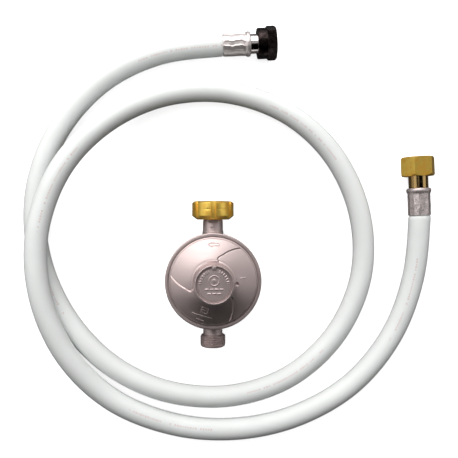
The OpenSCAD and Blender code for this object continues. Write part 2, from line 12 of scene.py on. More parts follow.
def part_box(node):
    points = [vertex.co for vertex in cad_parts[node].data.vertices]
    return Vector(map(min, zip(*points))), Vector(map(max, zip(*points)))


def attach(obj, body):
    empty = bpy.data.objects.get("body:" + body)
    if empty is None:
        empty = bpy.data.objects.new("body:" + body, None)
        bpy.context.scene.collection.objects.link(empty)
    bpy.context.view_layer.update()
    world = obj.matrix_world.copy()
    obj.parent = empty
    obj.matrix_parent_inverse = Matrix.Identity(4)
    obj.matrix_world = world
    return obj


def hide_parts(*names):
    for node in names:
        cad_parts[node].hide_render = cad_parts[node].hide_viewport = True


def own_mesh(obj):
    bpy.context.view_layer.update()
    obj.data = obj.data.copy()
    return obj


bl_info = {
    "name": "Gas hose and regulator",
    "version": (1, 0, 0),
    "blender": (4, 5, 0),
    "location": "View3D > Sidebar > Gas hose",
    "description": "Dresses a white gas hose, its swivel nuts and a diaphragm regulator "
                   "round their packed frame",
    "category": "Add Mesh",
}

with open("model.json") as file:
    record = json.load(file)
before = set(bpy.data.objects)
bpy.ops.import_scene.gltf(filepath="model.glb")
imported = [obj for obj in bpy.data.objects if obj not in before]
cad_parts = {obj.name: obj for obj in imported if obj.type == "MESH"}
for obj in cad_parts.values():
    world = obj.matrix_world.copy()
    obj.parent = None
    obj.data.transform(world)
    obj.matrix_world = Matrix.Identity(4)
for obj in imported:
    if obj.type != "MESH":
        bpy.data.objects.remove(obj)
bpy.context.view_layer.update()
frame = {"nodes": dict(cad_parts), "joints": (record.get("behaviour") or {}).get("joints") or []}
JOINTS = {j["name"]: j for j in frame["joints"]}
MADE = {}
MM = 0.001
UP = Vector((0, 0, 1))


def node_span(node, axis):
    """Lowest and highest place of a frame node along an axis, in millimetres."""
    low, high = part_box(node)
    return low[axis] / MM, high[axis] / MM


# Places and sizes that the frame gives, in millimetres
PIPE_Z = JOINTS["inlet_nut_spin"]["pos_m"][2] / MM
RIM_R = node_span("regulator_body", 0)[1]
OUTLET_END = -node_span("regulator_body", 1)[0]
NECK_END = node_span("regulator_body", 1)[1]
RIM_Z = node_span("regulator_body", 2)[1]
TOWER_Z = node_span("regulator_cover", 2)[1]
INLET_NUT_Y = node_span("inlet_nut", 1)
INLET_TAIL_Y = node_span("inlet_tail", 1)
NUT_FLATS = node_span("steel_nut", 2)[1] - node_span("steel_nut", 2)[0]
PIVOT_Y, PIVOT_Z = (c / MM for c in JOINTS["lever_swing"]["pos_m"][1:])

# Sizes that more than one piece shares, in millimetres
FLANGE, SEAL = 2.4, 1.6
TAIL_BORE, FERRULE_WALL = 3, 1.5
FINE_PITCH, GAS_PITCH = 1.5, 1.814
RIM_WIDTH, COVER_INSET = 2.5, 1.3
COVER_R, COVER_SEAT = RIM_R - COVER_INSET, RIM_Z - 3.3
WEB_DROP, TRAVEL = 3.1, 3.2

# The hose's route on the surface, in metres: x, y and how far it is lifted above lying flat
ROUTE = [
    (-0.044, 0.180, 0), (-0.089, 0.157, 0), (-0.123, 0.118, 0), (-0.140, 0.070, 0), (-0.138, 0.019, 0),
    (-0.118, -0.029, 0), (-0.084, -0.067, 0), (-0.039, -0.090, 0), (0.013, -0.095, 0), (0.062, -0.080, 0),
    (0.100, -0.046, 0), (0.121, 0.001, 0), (0.120, 0.052, 0), (0.099, 0.099, 0), (0.062, 0.133, 0),
    (0.013, 0.150, 0), (-0.038, 0.147, 0.002), (-0.083, 0.125, 0.0095), (-0.117, 0.088, 0.0165),
    (-0.135, 0.039, 0.0185), (-0.133, -0.012, 0.0175), (-0.114, -0.059, 0.012), (-0.080, -0.096, 0.0035),
    (-0.033, -0.117, 0), (0.018, -0.122, 0), (0.068, -0.112, 0), (0.113, -0.087, 0), (0.146, -0.048, 0),
    (0.164, -0.001, 0.0005),
]
GHOST_REACH = 0.042


# ---------- sizes and colours that a user may change ----------


def length(name, text, default):
    """A length in metres."""
    return FloatProperty(name=name, description=text, default=default, min=0, unit="LENGTH", precision=5)


def colour(name, text, default):
    """A linear colour."""
    return FloatVectorProperty(name=name, description=text, default=default, subtype="COLOR", min=0, max=1)


class HoseSizes(PropertyGroup):
    diameter: length("Diameter", "Outside diameter of the hose", 0.0175)
    bore: length("Bore", "Bore of the hose", 0.008)
    sides: IntProperty(name="Sides", description="Points round the hose", default=40, min=12, max=96)
    ring_gap: length("Ring gap", "Distance between the hose's rings", 0.004)
    print_gap: length("Print repeat", "Distance between the printed lines of dashes", 0.24)


class FittingSizes(PropertyGroup):
    ferrule: length("Ferrule", "Length of a ferrule", 0.022)
    steel_neck: length("Steel neck", "Plain insert between the steel ferrule and its nut", 0.0055)
    brass_neck: length("Brass neck", "Plain insert between the other ferrule and the brass nut", 0.0098)
    collar: length("Collar", "Length of the black nut's round collar", 0.0078)
    steel_hex: length("Steel hexagon", "Length of the black nut's hexagon", 0.0072)
    brass_hex: length("Brass hexagon", "Length of the brass nut", 0.0156)
    wall: length("Nut wall", "Thickness of a nut's back wall", 0.0028)
    ridges: IntProperty(
        name="Crimp ridges", description="Ridges left by the crimping jaws", default=14, min=8, max=16)


class RegulatorSizes(PropertyGroup):
    foot: length("Foot", "Diameter of the foot ring", 0.044)
    outlet_thread: length("Outlet thread", "Length of the outlet's thread", 0.0098)
    tower: length("Tower", "Diameter of the spring tower at its top", 0.0292)
    notch: length("Notch", "Width of the notch in the tower's edge", 0.0034)
    crease: length("Crease", "Height of the steps in the cover", 0.0009)
    grooves: IntProperty(
        name="Grooves", description="Gripping grooves round the inlet nut", default=7, min=6, max=8)


class Finishes(PropertyGroup):
    rubber: colour("Hose rubber", "White hose rubber", (0.78, 0.80, 0.79))
    print: colour("Print", "Printed dashes along the hose", (0.55, 0.25, 0.22))
    zinc: colour("Cast zinc", "Die-cast zinc", (0.60, 0.50, 0.49))
    plate: colour("Bright plate", "Bright steel plating", (0.74, 0.68, 0.67))
    dull: colour("Dull plate", "Dull steel plating", (0.60, 0.53, 0.52))
    black: colour("Black steel", "Black oxide on steel", (0.011, 0.008, 0.008))
    forged: colour("Forged brass", "Satin forged brass", (0.86, 0.58, 0.11))
    turned: colour("Turned brass", "Bright turned brass", (0.54, 0.36, 0.15))
    seal: colour("Seal rubber", "Black seal rubber", (0.03, 0.03, 0.032))
    wire: colour("Spring wire", "Drawn spring wire", (0.45, 0.45, 0.46))
    plastic: colour("Plastic", "Grey moulded plastic", (0.16, 0.17, 0.18))
    bronze: colour("Sintered bronze", "Sintered bronze of the filter", (0.50, 0.38, 0.20))
    floor: colour("Floor", "Pale floor", (0.92, 0.92, 0.92))


# ---------- shader expressions ----------


def both_ways(operation):
    """The two methods that put a tap before and after the other value."""
    return lambda a, b: a.sum(operation, a, b), lambda a, b: a.sum(operation, b, a)


class Tap:
    """One output socket, which takes part in sums as a number does."""

    __add__, __radd__ = both_ways("ADD")
    __sub__, __rsub__ = both_ways("SUBTRACT")
    __mul__, __rmul__ = both_ways("MULTIPLY")
    __truediv__, __rtruediv__ = both_ways("DIVIDE")
    __mod__, __rmod__ = both_ways("FLOORED_MODULO")
    __gt__, __lt__ = both_ways("GREATER_THAN")

    def __init__(self, finish, socket):
        self.finish = finish
        self.socket = socket

    def sum(self, operation, a, b):
        return self.finish.node("ShaderNodeMath", {"operation": operation}, {0: a, 1: b})

    def floor(self):
        return self.sum("FLOOR", self, 0)

    def abs(self):
        return self.sum("ABSOLUTE", self, 0)

    def ramp(self, low, high, start=0.0, end=1.0):
        """Eases from start to end as the value goes from low to high."""
        settings = {"interpolation_type": "SMOOTHSTEP"}
        sockets = {"Value": self, "From Min": low, "From Max": high, "To Min": start, "To Max": end}
        return self.finish.node("ShaderNodeMapRange", settings, sockets)


class Finish:
    """A node material, built from one Principled shader."""

    def __init__(self, name, base, metallic=0.0, roughness=0.5, **fixed):
        self.material = bpy.data.materials.new(name)
        self.material.use_nodes = True
        self.tree = self.material.node_tree
        self.shader = self.tree.nodes["Principled BSDF"]
        self.base = tuple(base) + (1.0,)
        self.set("Base Color", self.base)
        self.set("Metallic", metallic)
        self.set("Roughness", roughness)
        for key, value in fixed.items():
            self.set(key.replace("_", " "), value)

    def set(self, name, value):
        """Gives one of the shader's sockets a value or a link."""
        self.feed(self.shader.inputs[name], value)

    def feed(self, socket, value):
        if isinstance(value, Tap):
            self.tree.links.new(value.socket, socket)
        else:
            socket.default_value = value

    def node(self, kind, settings, sockets, output=0):
        """Adds a node: its settings first, then the values or links of its sockets."""
        made = self.tree.nodes.new(kind)
        for key, value in settings.items():
            setattr(made, key, value)
        for key, value in sockets.items():
            self.feed(made.inputs[key], value)
        return Tap(self, made.outputs[output])

    def place(self):
        return self.node("ShaderNodeTexCoord", {}, {}, "Object")

    def along(self):
        """Distance along the piece's own axis, in metres."""
        return self.node("ShaderNodeAttribute", {"attribute_name": "along"}, {}, "Fac")

    def around(self):
        """Angle round the piece's own axis, in turns."""
        return self.node("ShaderNodeAttribute", {"attribute_name": "around"}, {}, "Fac")

    def noise(self, size, detail=3.0, roughness=0.55, vector=None, distortion=0.0):
        """Noise with features of a size in millimetres."""
        sockets = {"Scale": 1 / (size * MM), "Detail": detail, "Roughness": roughness, "Distortion": distortion}
        sockets["Vector"] = vector or self.place()
        return self.node("ShaderNodeTexNoise", {}, sockets, "Fac")

    def turning(self):
        """Coordinates in which a turned piece's tool marks run round it."""
        spread = 0.02 * MM
        return self.node("ShaderNodeCombineXYZ", {}, {"X": self.along(), "Y": self.around() * spread})

    def blend(self, share, first, second):
        """Mixes two colours."""
        made = self.tree.nodes.new("ShaderNodeMix")
        made.data_type = "RGBA"
        self.feed(made.inputs[0], share)
        self.feed(made.inputs[6], first)
        self.feed(made.inputs[7], second)
        return Tap(self, made.outputs[2])

    def shade(self, share, darker, lighter):
        """The base colour varied between a darker and a lighter tone."""
        tones = [tuple(min(1.0, c * k) for c in self.base[:3]) + (1.0,) for k in (darker, lighter)]
        return self.blend(share, *tones)

    def bump(self, height, depth):
        """Relief from a height between 0 and 1, depth millimetres deep."""
        sockets = {"Height": height, "Distance": depth * MM, "Strength": 1.0}
        self.set("Normal", self.node("ShaderNodeBump", {}, sockets, "Normal"))

    def dress(self, tone, rough, relief=None, depth=0.0):
        """Gives the shader its colour, its roughness (a value, the least, the most) and its relief."""
        value, least, most = rough
        self.set("Base Color", tone)
        self.set("Roughness", value.ramp(0.3, 0.7, least, most))
        if relief is not None:
            self.bump(relief, depth)
        return self.material


# ---------- finishes ----------


def hose_rubber(looks, sizes):
    """Satin white rubber with a drawn grain, faint dirt and a line of printed dashes."""
    f = Finish("white_rubber", looks.rubber, roughness=0.42, Specular_IOR_Level=0.22)
    along, around = f.along(), f.around()
    grain = f.noise(0.35, detail=4)
    drawn = f.noise(1.0, detail=3, vector=f.node(
        "ShaderNodeCombineXYZ", {}, {"X": along * 0.06, "Y": around * (math.pi * sizes.diameter)}))
    smear = f.noise(28, detail=4, roughness=0.6)
    pitch, tall, level = 0.0021, 0.02, 0.54
    cell = (along / pitch).floor()
    chance = f.node("ShaderNodeTexWhiteNoise", {"noise_dimensions": "1D"}, {"W": cell}, "Value")
    stroke = ((along / pitch) % 1.0 - 0.5).abs() < 0.33
    group = ((along / sizes.print_gap) % 1.0) < 0.3
    line = (around - level).abs() < tall / 2 * (0.5 + chance)
    inked = stroke * group * line * (chance > 0.22) * f.noise(0.5).ramp(0.25, 0.6, 0.1, 0.42)
    clean = f.shade(smear.ramp(0.3, 0.75), 0.955, 1.0)
    tone = f.blend(inked, clean, tuple(looks.print) + (1.0,))
    return f.dress(tone, (smear, 0.36, 0.5), grain * 0.6 + drawn * 0.4, 0.035)


def cast_zinc(looks):
    """Tumbled die casting: satin grey metal with soft dents and a fine grain."""
    f = Finish("tumbled_zinc", looks.zinc, metallic=1.0, roughness=0.42)
    grain = f.noise(0.22, detail=5, roughness=0.65)
    dents = f.noise(2.4, detail=3)
    patch = f.noise(14, detail=4, roughness=0.6)
    tone = f.shade(patch * 0.6 + grain * 0.4, 0.82, 1.12)
    return f.dress(tone, (patch * 0.5 + grain * 0.5, 0.48, 0.6), grain * 0.3 + dents * 0.7, 0.035)


def crimped_plate(looks):
    """Bright plating drawn out and scuffed by the crimping jaws."""
    f = Finish("crimped_plate", looks.plate, metallic=0.82, roughness=0.42)
    drawn = f.noise(1.3, detail=4, vector=f.node(
        "ShaderNodeCombineXYZ", {}, {"X": f.along() * 0.3, "Y": f.around() * 0.055}), distortion=0.4)
    fine = f.noise(0.3, detail=4)
    return f.dress(f.shade(drawn, 0.80, 1.15), (fine, 0.36, 0.5), drawn * 0.8 + fine * 0.2, 0.22)


def dull_plate(looks):
    """Dull plating, stippled by the crimp."""
    f = Finish("dull_plate", looks.dull, metallic=0.75, roughness=0.38)
    stipple = f.noise(0.9, detail=5, roughness=0.7)
    patch = f.noise(4, detail=3)
    tone = f.shade((stipple * 0.7 + patch * 0.3).ramp(0.36, 0.64), 0.55, 1.35)
    return f.dress(tone, (stipple, 0.30, 0.50), stipple, 0.2)


def turned_metal(name, base, roughness):
    """Metal turned on a lathe, with fine tool marks round it."""
    f = Finish(name, base, metallic=1.0, roughness=roughness)
    marks = f.noise(0.09, detail=3, vector=f.turning())
    stain = f.noise(3.5, detail=4)
    tone = f.shade(stain * 0.7 + marks * 0.3, 0.82, 1.1)
    return f.dress(tone, (stain, roughness * 0.8, roughness * 1.35), marks, 0.008)


def forged_brass(looks):
    """Tumbled forged brass, a little tarnished."""
    f = Finish("tumbled_brass", looks.forged, metallic=0.75, roughness=0.33)
    grain = f.noise(0.28, detail=5, roughness=0.65)
    dents = f.noise(1.8, detail=2)
    stain = f.noise(4.5, detail=4, roughness=0.6)
    warm = tuple(c * k for c, k in zip(looks.forged, (0.92, 0.74, 0.55))) + (1.0,)
    tone = f.blend(stain.ramp(0.42, 0.68), f.shade(grain, 0.9, 1.08), warm)
    return f.dress(tone, (stain * 0.6 + grain * 0.4, 0.26, 0.44), grain * 0.45 + dents * 0.55, 0.035)


def black_oxide(looks):
    """Black oxide on machined steel, satin, with paler rubbed grain."""
    f = Finish("black_oxide", looks.black, metallic=1.0, roughness=0.34)
    grain = f.noise(0.3, detail=5, roughness=0.7)
    rub = f.noise(3, detail=3)
    tone = f.shade((grain * 0.5 + rub * 0.5).ramp(0.35, 0.75), 0.5, 5.0)
    return f.dress(tone, (grain, 0.2, 0.36), grain, 0.03)


def seal_rubber(looks):
    """Matt moulded rubber."""
    f = Finish("black_rubber", looks.seal, roughness=0.62)
    bloom = f.noise(1.6, detail=4)
    return f.dress(f.shade(bloom, 0.8, 1.6), (bloom, 0.52, 0.72), f.noise(0.15), 0.01)


def spring_wire(looks):
    """Drawn spring wire."""
    f = Finish("drawn_wire", looks.wire, metallic=1.0, roughness=0.3)
    drawn = f.noise(0.5, detail=4)
    return f.dress(f.shade(drawn, 0.85, 1.1), (drawn, 0.24, 0.38))


def moulded_plastic(looks):
    """Fine-textured moulded plastic."""
    f = Finish("moulded_plastic", looks.plastic, roughness=0.5)
    spark = f.noise(0.25, detail=3)
    return f.dress(f.shade(spark, 0.9, 1.1), (spark, 0.42, 0.58), spark, 0.01)


def sintered_bronze(looks):
    """Bronze beads sintered into a porous disc, with painted shade in the gaps between the beads."""
    f = Finish("bronze_beads", looks.bronze, metallic=1.0, roughness=0.45)
    beads = f.node("ShaderNodeTexVoronoi", {}, {"Vector": f.place(), "Scale": 1 / (0.35 * MM)}, "Distance")
    bead_height_and_gap_shade = beads.ramp(0.1, 0.6, 1.0, 0.0)
    # Painted shade: the base colour darkens from each bead's crown to the gaps between the beads.
    f.set("Base Color", f.shade(bead_height_and_gap_shade, 0.35, 1.1))
    f.bump(bead_height_and_gap_shade, 0.12)
    return f.material


def finishes():
    """Makes every finish once and returns them by name."""
    scene = bpy.context.scene
    looks = scene.hose_finishes
    if not MADE:
        plain = (cast_zinc, crimped_plate, dull_plate, forged_brass, black_oxide, seal_rubber,
                 spring_wire, moulded_plastic, sintered_bronze)
        MADE.update((make.__name__, make(looks)) for make in plain)
        MADE["hose_rubber"] = hose_rubber(looks, scene.hose_sizes)
        MADE["turned_plate"] = turned_metal("turned_plate", looks.plate, 0.13)
        MADE["turned_brass"] = turned_metal("bright_brass", looks.turned, 0.17)
    return MADE


# ---------- mesh tools: millimetres, with a piece's axis along +X ----------


def mesh_object(name, points, faces):
    mesh = bpy.data.meshes.new(name)
    mesh.from_pydata([tuple(p) for p in points], [], faces)
    work = bmesh.new()
    work.from_mesh(mesh)
    bmesh.ops.recalc_face_normals(work, faces=work.faces)
    work.to_mesh(mesh)
    work.free()
    obj = bpy.data.objects.new(name, mesh)
    bpy.context.scene.collection.objects.link(obj)
    return obj


def bend(start, corner, end, arc):
    """Points of a curve from start to end that turns at a corner."""
    steps = [k / arc for k in range(arc + 1)]
    return [tuple((1 - t) ** 2 * start + 2 * t * (1 - t) * corner + t * t * end) for t in steps]


def eased(corners, radius=0.3, arc=3):
    """The closed outline with its corners rounded. A corner may give its own radius as a third number."""
    out = []
    for i, corner in enumerate(corners):
        here = Vector(corner[:2])
        back = Vector(corners[i - 1][:2]) - here
        ahead = Vector(corners[(i + 1) % len(corners)][:2]) - here
        wanted = corner[2] if len(corner) > 2 else radius
        half = back.angle(ahead) / 2
        if wanted == 0 or here.y < 1e-6 or half > math.radians(86):
            out.append(tuple(here))
            continue
        cut = min(wanted / math.tan(half), 0.45 * back.length, 0.45 * ahead.length)
        out += bend(here + back.normalized() * cut, here, here + ahead.normalized() * cut, arc)
    return out


def rings_to_mesh(name, rings):
    """Joins equal rings of points, each to the next and the last to the first.

    A ring of one point is a pole.
    """
    points, rows = [], []
    steps = max(len(ring) for ring in rings)
    for ring in rings:
        first = len(points)
        points += ring
        rows.append([first] * steps if len(ring) == 1 else list(range(first, first + steps)))
    faces = []
    for a, b in zip(rows, rows[1:] + rows[:1]):
        for k in range(steps):
            j = (k + 1) % steps
            corners = list(dict.fromkeys((a[k], a[j], b[j], b[k])))
            if len(corners) > 2:
                faces.append(corners)
    return mesh_object(name, points, faces)


def circle(x, radius, steps):
    if radius < 1e-6:
        return [(x, 0, 0)]
    turns = [2 * math.pi * k / steps for k in range(steps)]
    return [(x, radius * math.cos(a), radius * math.sin(a)) for a in turns]


def turned(name, outline, steps=128):
    """A closed outline of (along, radius) turned about the axis."""
    return rings_to_mesh(name, [circle(x, r, steps) for x, r in outline])


def rod(x0, x1, radius, steps=96):
    """A plain round rod, for cutting bores."""
    return turned("rod_tool", [(x0, 0), (x0, radius), (x1, radius), (x1, 0)], steps)


def threaded_rod(x0, x1, root, crest, pitch, hand=1):
    """A rod whose side is a V thread with small flats, for cutting nuts and outlets."""
    steps, per_pitch, flat = 96, 12, 0.12
    rows = round((x1 - x0) / pitch * per_pitch)
    rings = [[(x0, 0, 0)]]
    for i in range(rows + 1):
        x = x0 + (x1 - x0) * i / rows
        ring = []
        for k in range(steps):
            phase = (x / pitch - hand * k / steps) % 1.0
            height = min(1.0, max(0.0, (abs(2 * phase - 1) - flat) / (1 - 2 * flat)))
            r = root + (crest - root) * height
            angle = 2 * math.pi * k / steps
            ring.append((x, r * math.cos(angle), r * math.sin(angle)))
        rings.append(ring)
    rings.append([(x1, 0, 0)])
    return rings_to_mesh("thread_tool", rings)


def prism(x0, x1, outline):
    """An outline in the plane across the axis, drawn along it."""
    low = [(x0, y, z) for y, z in outline]
    high = [(x1, y, z) for y, z in outline]
    count = len(outline)
    sides = [[k, (k + 1) % count, count + (k + 1) % count, count + k] for k in range(count)]
    caps = [list(range(count)), list(range(count, 2 * count))]
    return mesh_object("prism_tool", low + high, sides + caps)


def apply_changes(obj):
    """Makes a piece's modifiers part of its mesh."""
    bpy.context.view_layer.update()
    graph = bpy.context.evaluated_depsgraph_get()
    mesh = bpy.data.meshes.new_from_object(obj.evaluated_get(graph))
    if len(mesh.polygons) < 4:
        raise RuntimeError(f"{obj.name}: nothing was left after a cut")
    obj.modifiers.clear()
    old = obj.data
    obj.data = mesh
    bpy.data.meshes.remove(old)
    return obj


def block(half, low, high):
    """Outline of a rectangle, as wide to both sides."""
    return [(-half, low), (half, low), (half, high), (-half, high)]


def carve(target, tool, operation="DIFFERENCE"):
    """Cuts, joins or crosses target with tool, and removes tool."""
    change = target.modifiers.new("carve", "BOOLEAN")
    change.operation = operation
    change.object = tool
    change.solver = "MANIFOLD"
    apply_changes(target)
    bpy.data.objects.remove(tool)
    return target


def soften_edges(obj, width, angle=35):
    """Breaks the sharp edges of a piece."""
    change = obj.modifiers.new("edges", "BEVEL")
    change.width = width
    change.segments = 2
    change.limit_method = "ANGLE"
    change.angle_limit = math.radians(angle)
    change.use_clamp_overlap = True
    return apply_changes(obj)


def frame_matrix(origin, along):
    """Millimetres in a piece's own axes to metres in the frame: its X runs along, its Z is up."""
    x = Vector(along).normalized()
    y = UP.cross(x).normalized()
    z = x.cross(y)
    turn = Matrix((x, y, z)).transposed().to_4x4()
    return Matrix.Translation(Vector(origin)) @ turn @ Matrix.Scale(MM, 4)


def fitting_axes(end):
    """The axes of a hose fitting: X runs from its ferrule's rear edge to its nut's mouth."""
    sizes = bpy.context.scene.fitting_sizes
    if end == "steel":
        back = sizes.ferrule + sizes.steel_neck + (sizes.collar + sizes.steel_hex) / 2
    else:
        back = sizes.ferrule + sizes.brass_neck + sizes.brass_hex / 2
    joint = JOINTS[f"{end}_nut_spin"]
    axis = Vector(joint["axis"])
    return frame_matrix(Vector(joint["pos_m"]) - axis * back, axis)


PIPE_AXES = frame_matrix((0, 0, PIPE_Z * MM), (0, 1, 0))
TOWER_AXES = Matrix(((0, 1, 0, 0), (0, 0, 1, 0), (1, 0, 0, 0), (0, 0, 0, 1))) @ Matrix.Scale(MM, 4)
PIPE_IN_TOWER = TOWER_AXES.inverted() @ PIPE_AXES


def points_of(mesh):
    co = np.empty(len(mesh.vertices) * 3, np.float32)
    mesh.vertices.foreach_get("co", co)
    return co.reshape(-1, 3)


def tag_points(mesh, along, around):
    """Stores each point's place along and round the piece's axis, for its finish."""
    for name, values in (("along", along), ("around", around)):
        layer = mesh.attributes.new(name, "FLOAT", "POINT")
        layer.data.foreach_set("value", np.ascontiguousarray(values, np.float32))


def settle(obj, matrix, body, finish, slot, *nodes, crease=32):
    """Puts a finished piece in the frame, on its body and in place of its nodes."""
    x, y, z = points_of(obj.data).T
    tag_points(obj.data, x * MM, np.arctan2(z, y) / (2 * math.pi))
    obj.data.transform(matrix)
    if matrix.determinant() < 0:
        obj.data.flip_normals()
    obj.data.shade_smooth()
    obj.data.set_sharp_from_angle(angle=math.radians(crease))
    obj.data.materials.clear()
    obj.data.materials.append(finishes()[finish])
    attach(obj, body)
    if nodes:
        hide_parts(*nodes)


# ---------- hose ----------


def hose_line(sizes):
    """The hose's centre line: points in metres with the tangent at each, between its two ferrules."""
    radius = sizes.diameter / 2
    start, finish = fitting_axes("steel"), fitting_axes("brass")
    ends = [start.translation, finish.translation]
    ahead = [start.col[0].xyz.normalized(), finish.col[0].xyz.normalized()]
    points = [Vector(p) + radius * UP for p in ROUTE]
    points = [ends[0]] + points + [ends[1]]
    guides = [ends[0] + GHOST_REACH * ahead[0]] + points + [ends[1] + GHOST_REACH * ahead[1]]
    dense = []
    for i in range(1, len(guides) - 2):
        a, b, c, d = guides[i - 1 : i + 3]
        for k in range(24):
            t = k / 24
            p = 0.5 * (
                2 * b + t * (c - a) + t * t * (2 * a - 5 * b + 4 * c - d) + t**3 * (3 * b - a - 3 * c + d)
            )
            p.z = max(radius, p.z)
            dense.append(p)
    dense.append(ends[1].copy())
    return dense, ahead


def even_steps(points, gap):
    """The same line with its points about a gap apart."""
    line = np.array([tuple(p) for p in points])
    reach = np.concatenate([[0], np.cumsum(np.linalg.norm(np.diff(line, axis=0), axis=1))])
    places = np.linspace(0, reach[-1], round(reach[-1] / gap) + 1)
    return np.stack([np.interp(places, reach, line[:, i]) for i in range(3)], axis=1), places


def hose_mesh(name, sizes):
    """The hose as one tube, squeezed where it enters its ferrules."""
    dense, ahead = hose_line(sizes)
    line, places = even_steps(dense, sizes.ring_gap)
    outer, bore = sizes.diameter / 2, sizes.bore / 2
    squeezed, squeezed_bore, reach = 7.75 * MM, 4.3 * MM, 19.2 * MM
    slope, hair, ease = 0.8 * MM, 0.05 * MM, 0.3 * MM
    start, end = np.array(ahead[0]), np.array(ahead[1])
    last = places[-1]
    rings = [
        (line[0] + reach * start, squeezed, squeezed_bore, -reach),
        (line[0] - hair * start, squeezed, squeezed_bore, 0.0),
        (line[0] - slope * start, outer - ease, bore, slope),
        (line[0] - 2 * slope * start, outer, bore, 2 * slope),
        *((p, outer, bore, s) for p, s in zip(line[1:-1], places[1:-1])),
        (line[-1] - 2 * slope * end, outer, bore, last - 2 * slope),
        (line[-1] - slope * end, outer - ease, bore, last - slope),
        (line[-1] - hair * end, squeezed, squeezed_bore, last),
        (line[-1] + reach * end, squeezed, squeezed_bore, last + reach),
    ]
    centres = np.array([r[0] for r in rings])
    tangents = np.gradient(centres, axis=0)
    tangents /= np.linalg.norm(tangents, axis=1)[:, None]
    side = np.cross(tangents, [0, 0, 1])
    side /= np.linalg.norm(side, axis=1)[:, None]
    top = np.cross(side, tangents)
    turns = [2 * math.pi * k / sizes.sides - math.pi / 2 for k in range(sizes.sides)]
    round_it = np.array([[math.cos(a), math.sin(a)] for a in turns])
    walls, tags = [], []
    for wall in (1, 2):
        order = range(len(rings)) if wall == 1 else reversed(range(len(rings)))
        for i in order:
            offsets = rings[i][wall] * (round_it[:, :1] * side[i] + round_it[:, 1:] * top[i])
            walls.append([tuple(p) for p in centres[i] + offsets])
            tags += [(rings[i][3], k / sizes.sides) for k in range(sizes.sides)]
    hose = rings_to_mesh(name, walls)
    tag_points(hose.data, *np.array(tags, np.float32).T)
    return hose, centres


class AddHose(Operator):
    bl_idname = "gas_hose.add_hose"
    bl_label = "Hose"

    def execute(self, context):
        sizes = context.scene.hose_sizes
        hose, line = hose_mesh("hose_tube", sizes)
        hose.data.shade_smooth()
        hose.data.materials.append(finishes()["hose_rubber"])
        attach(hose, "hose_line")
        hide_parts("hose")
        reach = float(np.linalg.norm(np.diff(line, axis=0), axis=1).sum())
        return {"FINISHED"}


# ---------- hose fittings: X runs from the ferrule's rear edge to the nut's mouth ----------


def crimped_ferrule(name, sizes, radius, ridge, wander, phase):
    """Sleeve pressed by jaws: flat facets with wandering ridges between them, and a flared front lip."""
    span = sizes.ferrule / MM
    lip = span - 3
    inside, hole, flare = 7.92, 5.7, 9.85
    outline = [(0, 8.3), (0.15, radius - 0.12), (0.6, radius)]
    outline += [(0.6 + (lip - 1.8) * k / 26, radius) for k in range(1, 27)]
    outline += [(lip - 0.5, radius + 0.35), (lip, flare - 0.23), (lip + 0.5, flare)]
    outline += [(lip + 1.6, flare), (span - 0.6, flare - 0.25), (span - 0.1, flare - 0.75), (span, 8.6)]
    outline += [(span, hole), (span - FERRULE_WALL, hole), (span - FERRULE_WALL, inside), (0, inside)]
    steps = 240
    half = math.pi / sizes.ridges
    rings = []
    for x, r in outline:
        pressed = 1.0 if r > 8.4 and x < lip - 0.4 else 0.0
        fade = min(1.0, x / 1.2) * min(1.0, max(0.0, (lip + 0.2 - x) / 2.5)) * pressed
        ring = []
        for k in range(steps):
            angle = 2 * math.pi * k / steps
            drift = wander * (math.sin(x * 0.55 + phase) + 0.6 * math.sin(x * 1.3 + 2 * phase))
            turn = (angle * sizes.ridges / (2 * math.pi) + phase + drift) % 1.0
            near = min(turn, 1 - turn)
            facet = r * (math.cos(half) / math.cos(2 * half * (0.5 - near)) - 1)
            swell = math.exp(-((near / 0.11) ** 2)) * ridge
            rr = r + fade * (facet + swell)
            ring.append((x, rr * math.cos(angle), rr * math.sin(angle)))
        rings.append(ring)
    return rings_to_mesh(name, rings)


class AddFerrules(Operator):
    """Make the two crimped ferrules"""

    bl_idname = "gas_hose.add_ferrules"
    bl_label = "Ferrules"

    def execute(self, context):
        sizes = context.scene.fitting_sizes
        steel = crimped_ferrule("steel_crimp", sizes, 8.8, 0.3, 0.09, 0.74)
        settle(steel, fitting_axes("steel"),
               "hose_line", "crimped_plate", "crimped_steel", "steel_ferrule")
        brass = crimped_ferrule("brass_crimp", sizes, 9.1, 0.09, 0.07, 0.25)
        settle(brass, fitting_axes("brass"),
               "hose_line", "dull_plate", "dull_steel", "brass_ferrule")
        return {"FINISHED"}


def turned_insert(name, sizes, neck, radius, flange):
    """Barbed tail, plain neck and the flange inside the nut, bored right through."""
    span = sizes.ferrule / MM
    front = span - FERRULE_WALL
    seat = span + neck / MM + sizes.wall / MM + 0.1
    outline = [(2, TAIL_BORE, 0), (2, 3.6, 0)]
    for k in range(5):
        outline += [(3 + 3 * k, 4.1, 0), (5.4 + 3 * k, 4.1, 0), (5.9 + 3 * k, 3.7, 0)]
    outline += [(front - 1.2, 4.1, 0), (front - 1.2, 7.8), (front - 0.05, 7.8), (front - 0.05, 5.6, 0)]
    outline += [(span + 0.05, 5.6, 0), (span + 0.05, radius), (seat, radius, 0.1), (seat, flange)]
    outline += [(seat + FLANGE, flange), (seat + FLANGE, TAIL_BORE, 0.4)]
    return turned(name, eased(outline, 0.25))


class AddInserts(Operator):
    """Make the two turned inserts that the nuts swivel on"""

    bl_idname = "gas_hose.add_inserts"
    bl_label = "Inserts"

    def execute(self, context):
        sizes = context.scene.fitting_sizes
        steel = turned_insert("steel_tail", sizes, sizes.steel_neck, 7.65, 9)
        settle(steel, fitting_axes("steel"),
               "hose_line", "turned_plate", "plated_steel", "steel_insert")
        brass = turned_insert("brass_tail", sizes, sizes.brass_neck, 7.85, 9.1)
        settle(brass, fitting_axes("brass"),
               "hose_line", "turned_brass", "turned_brass", "brass_insert")
        return {"FINISHED"}


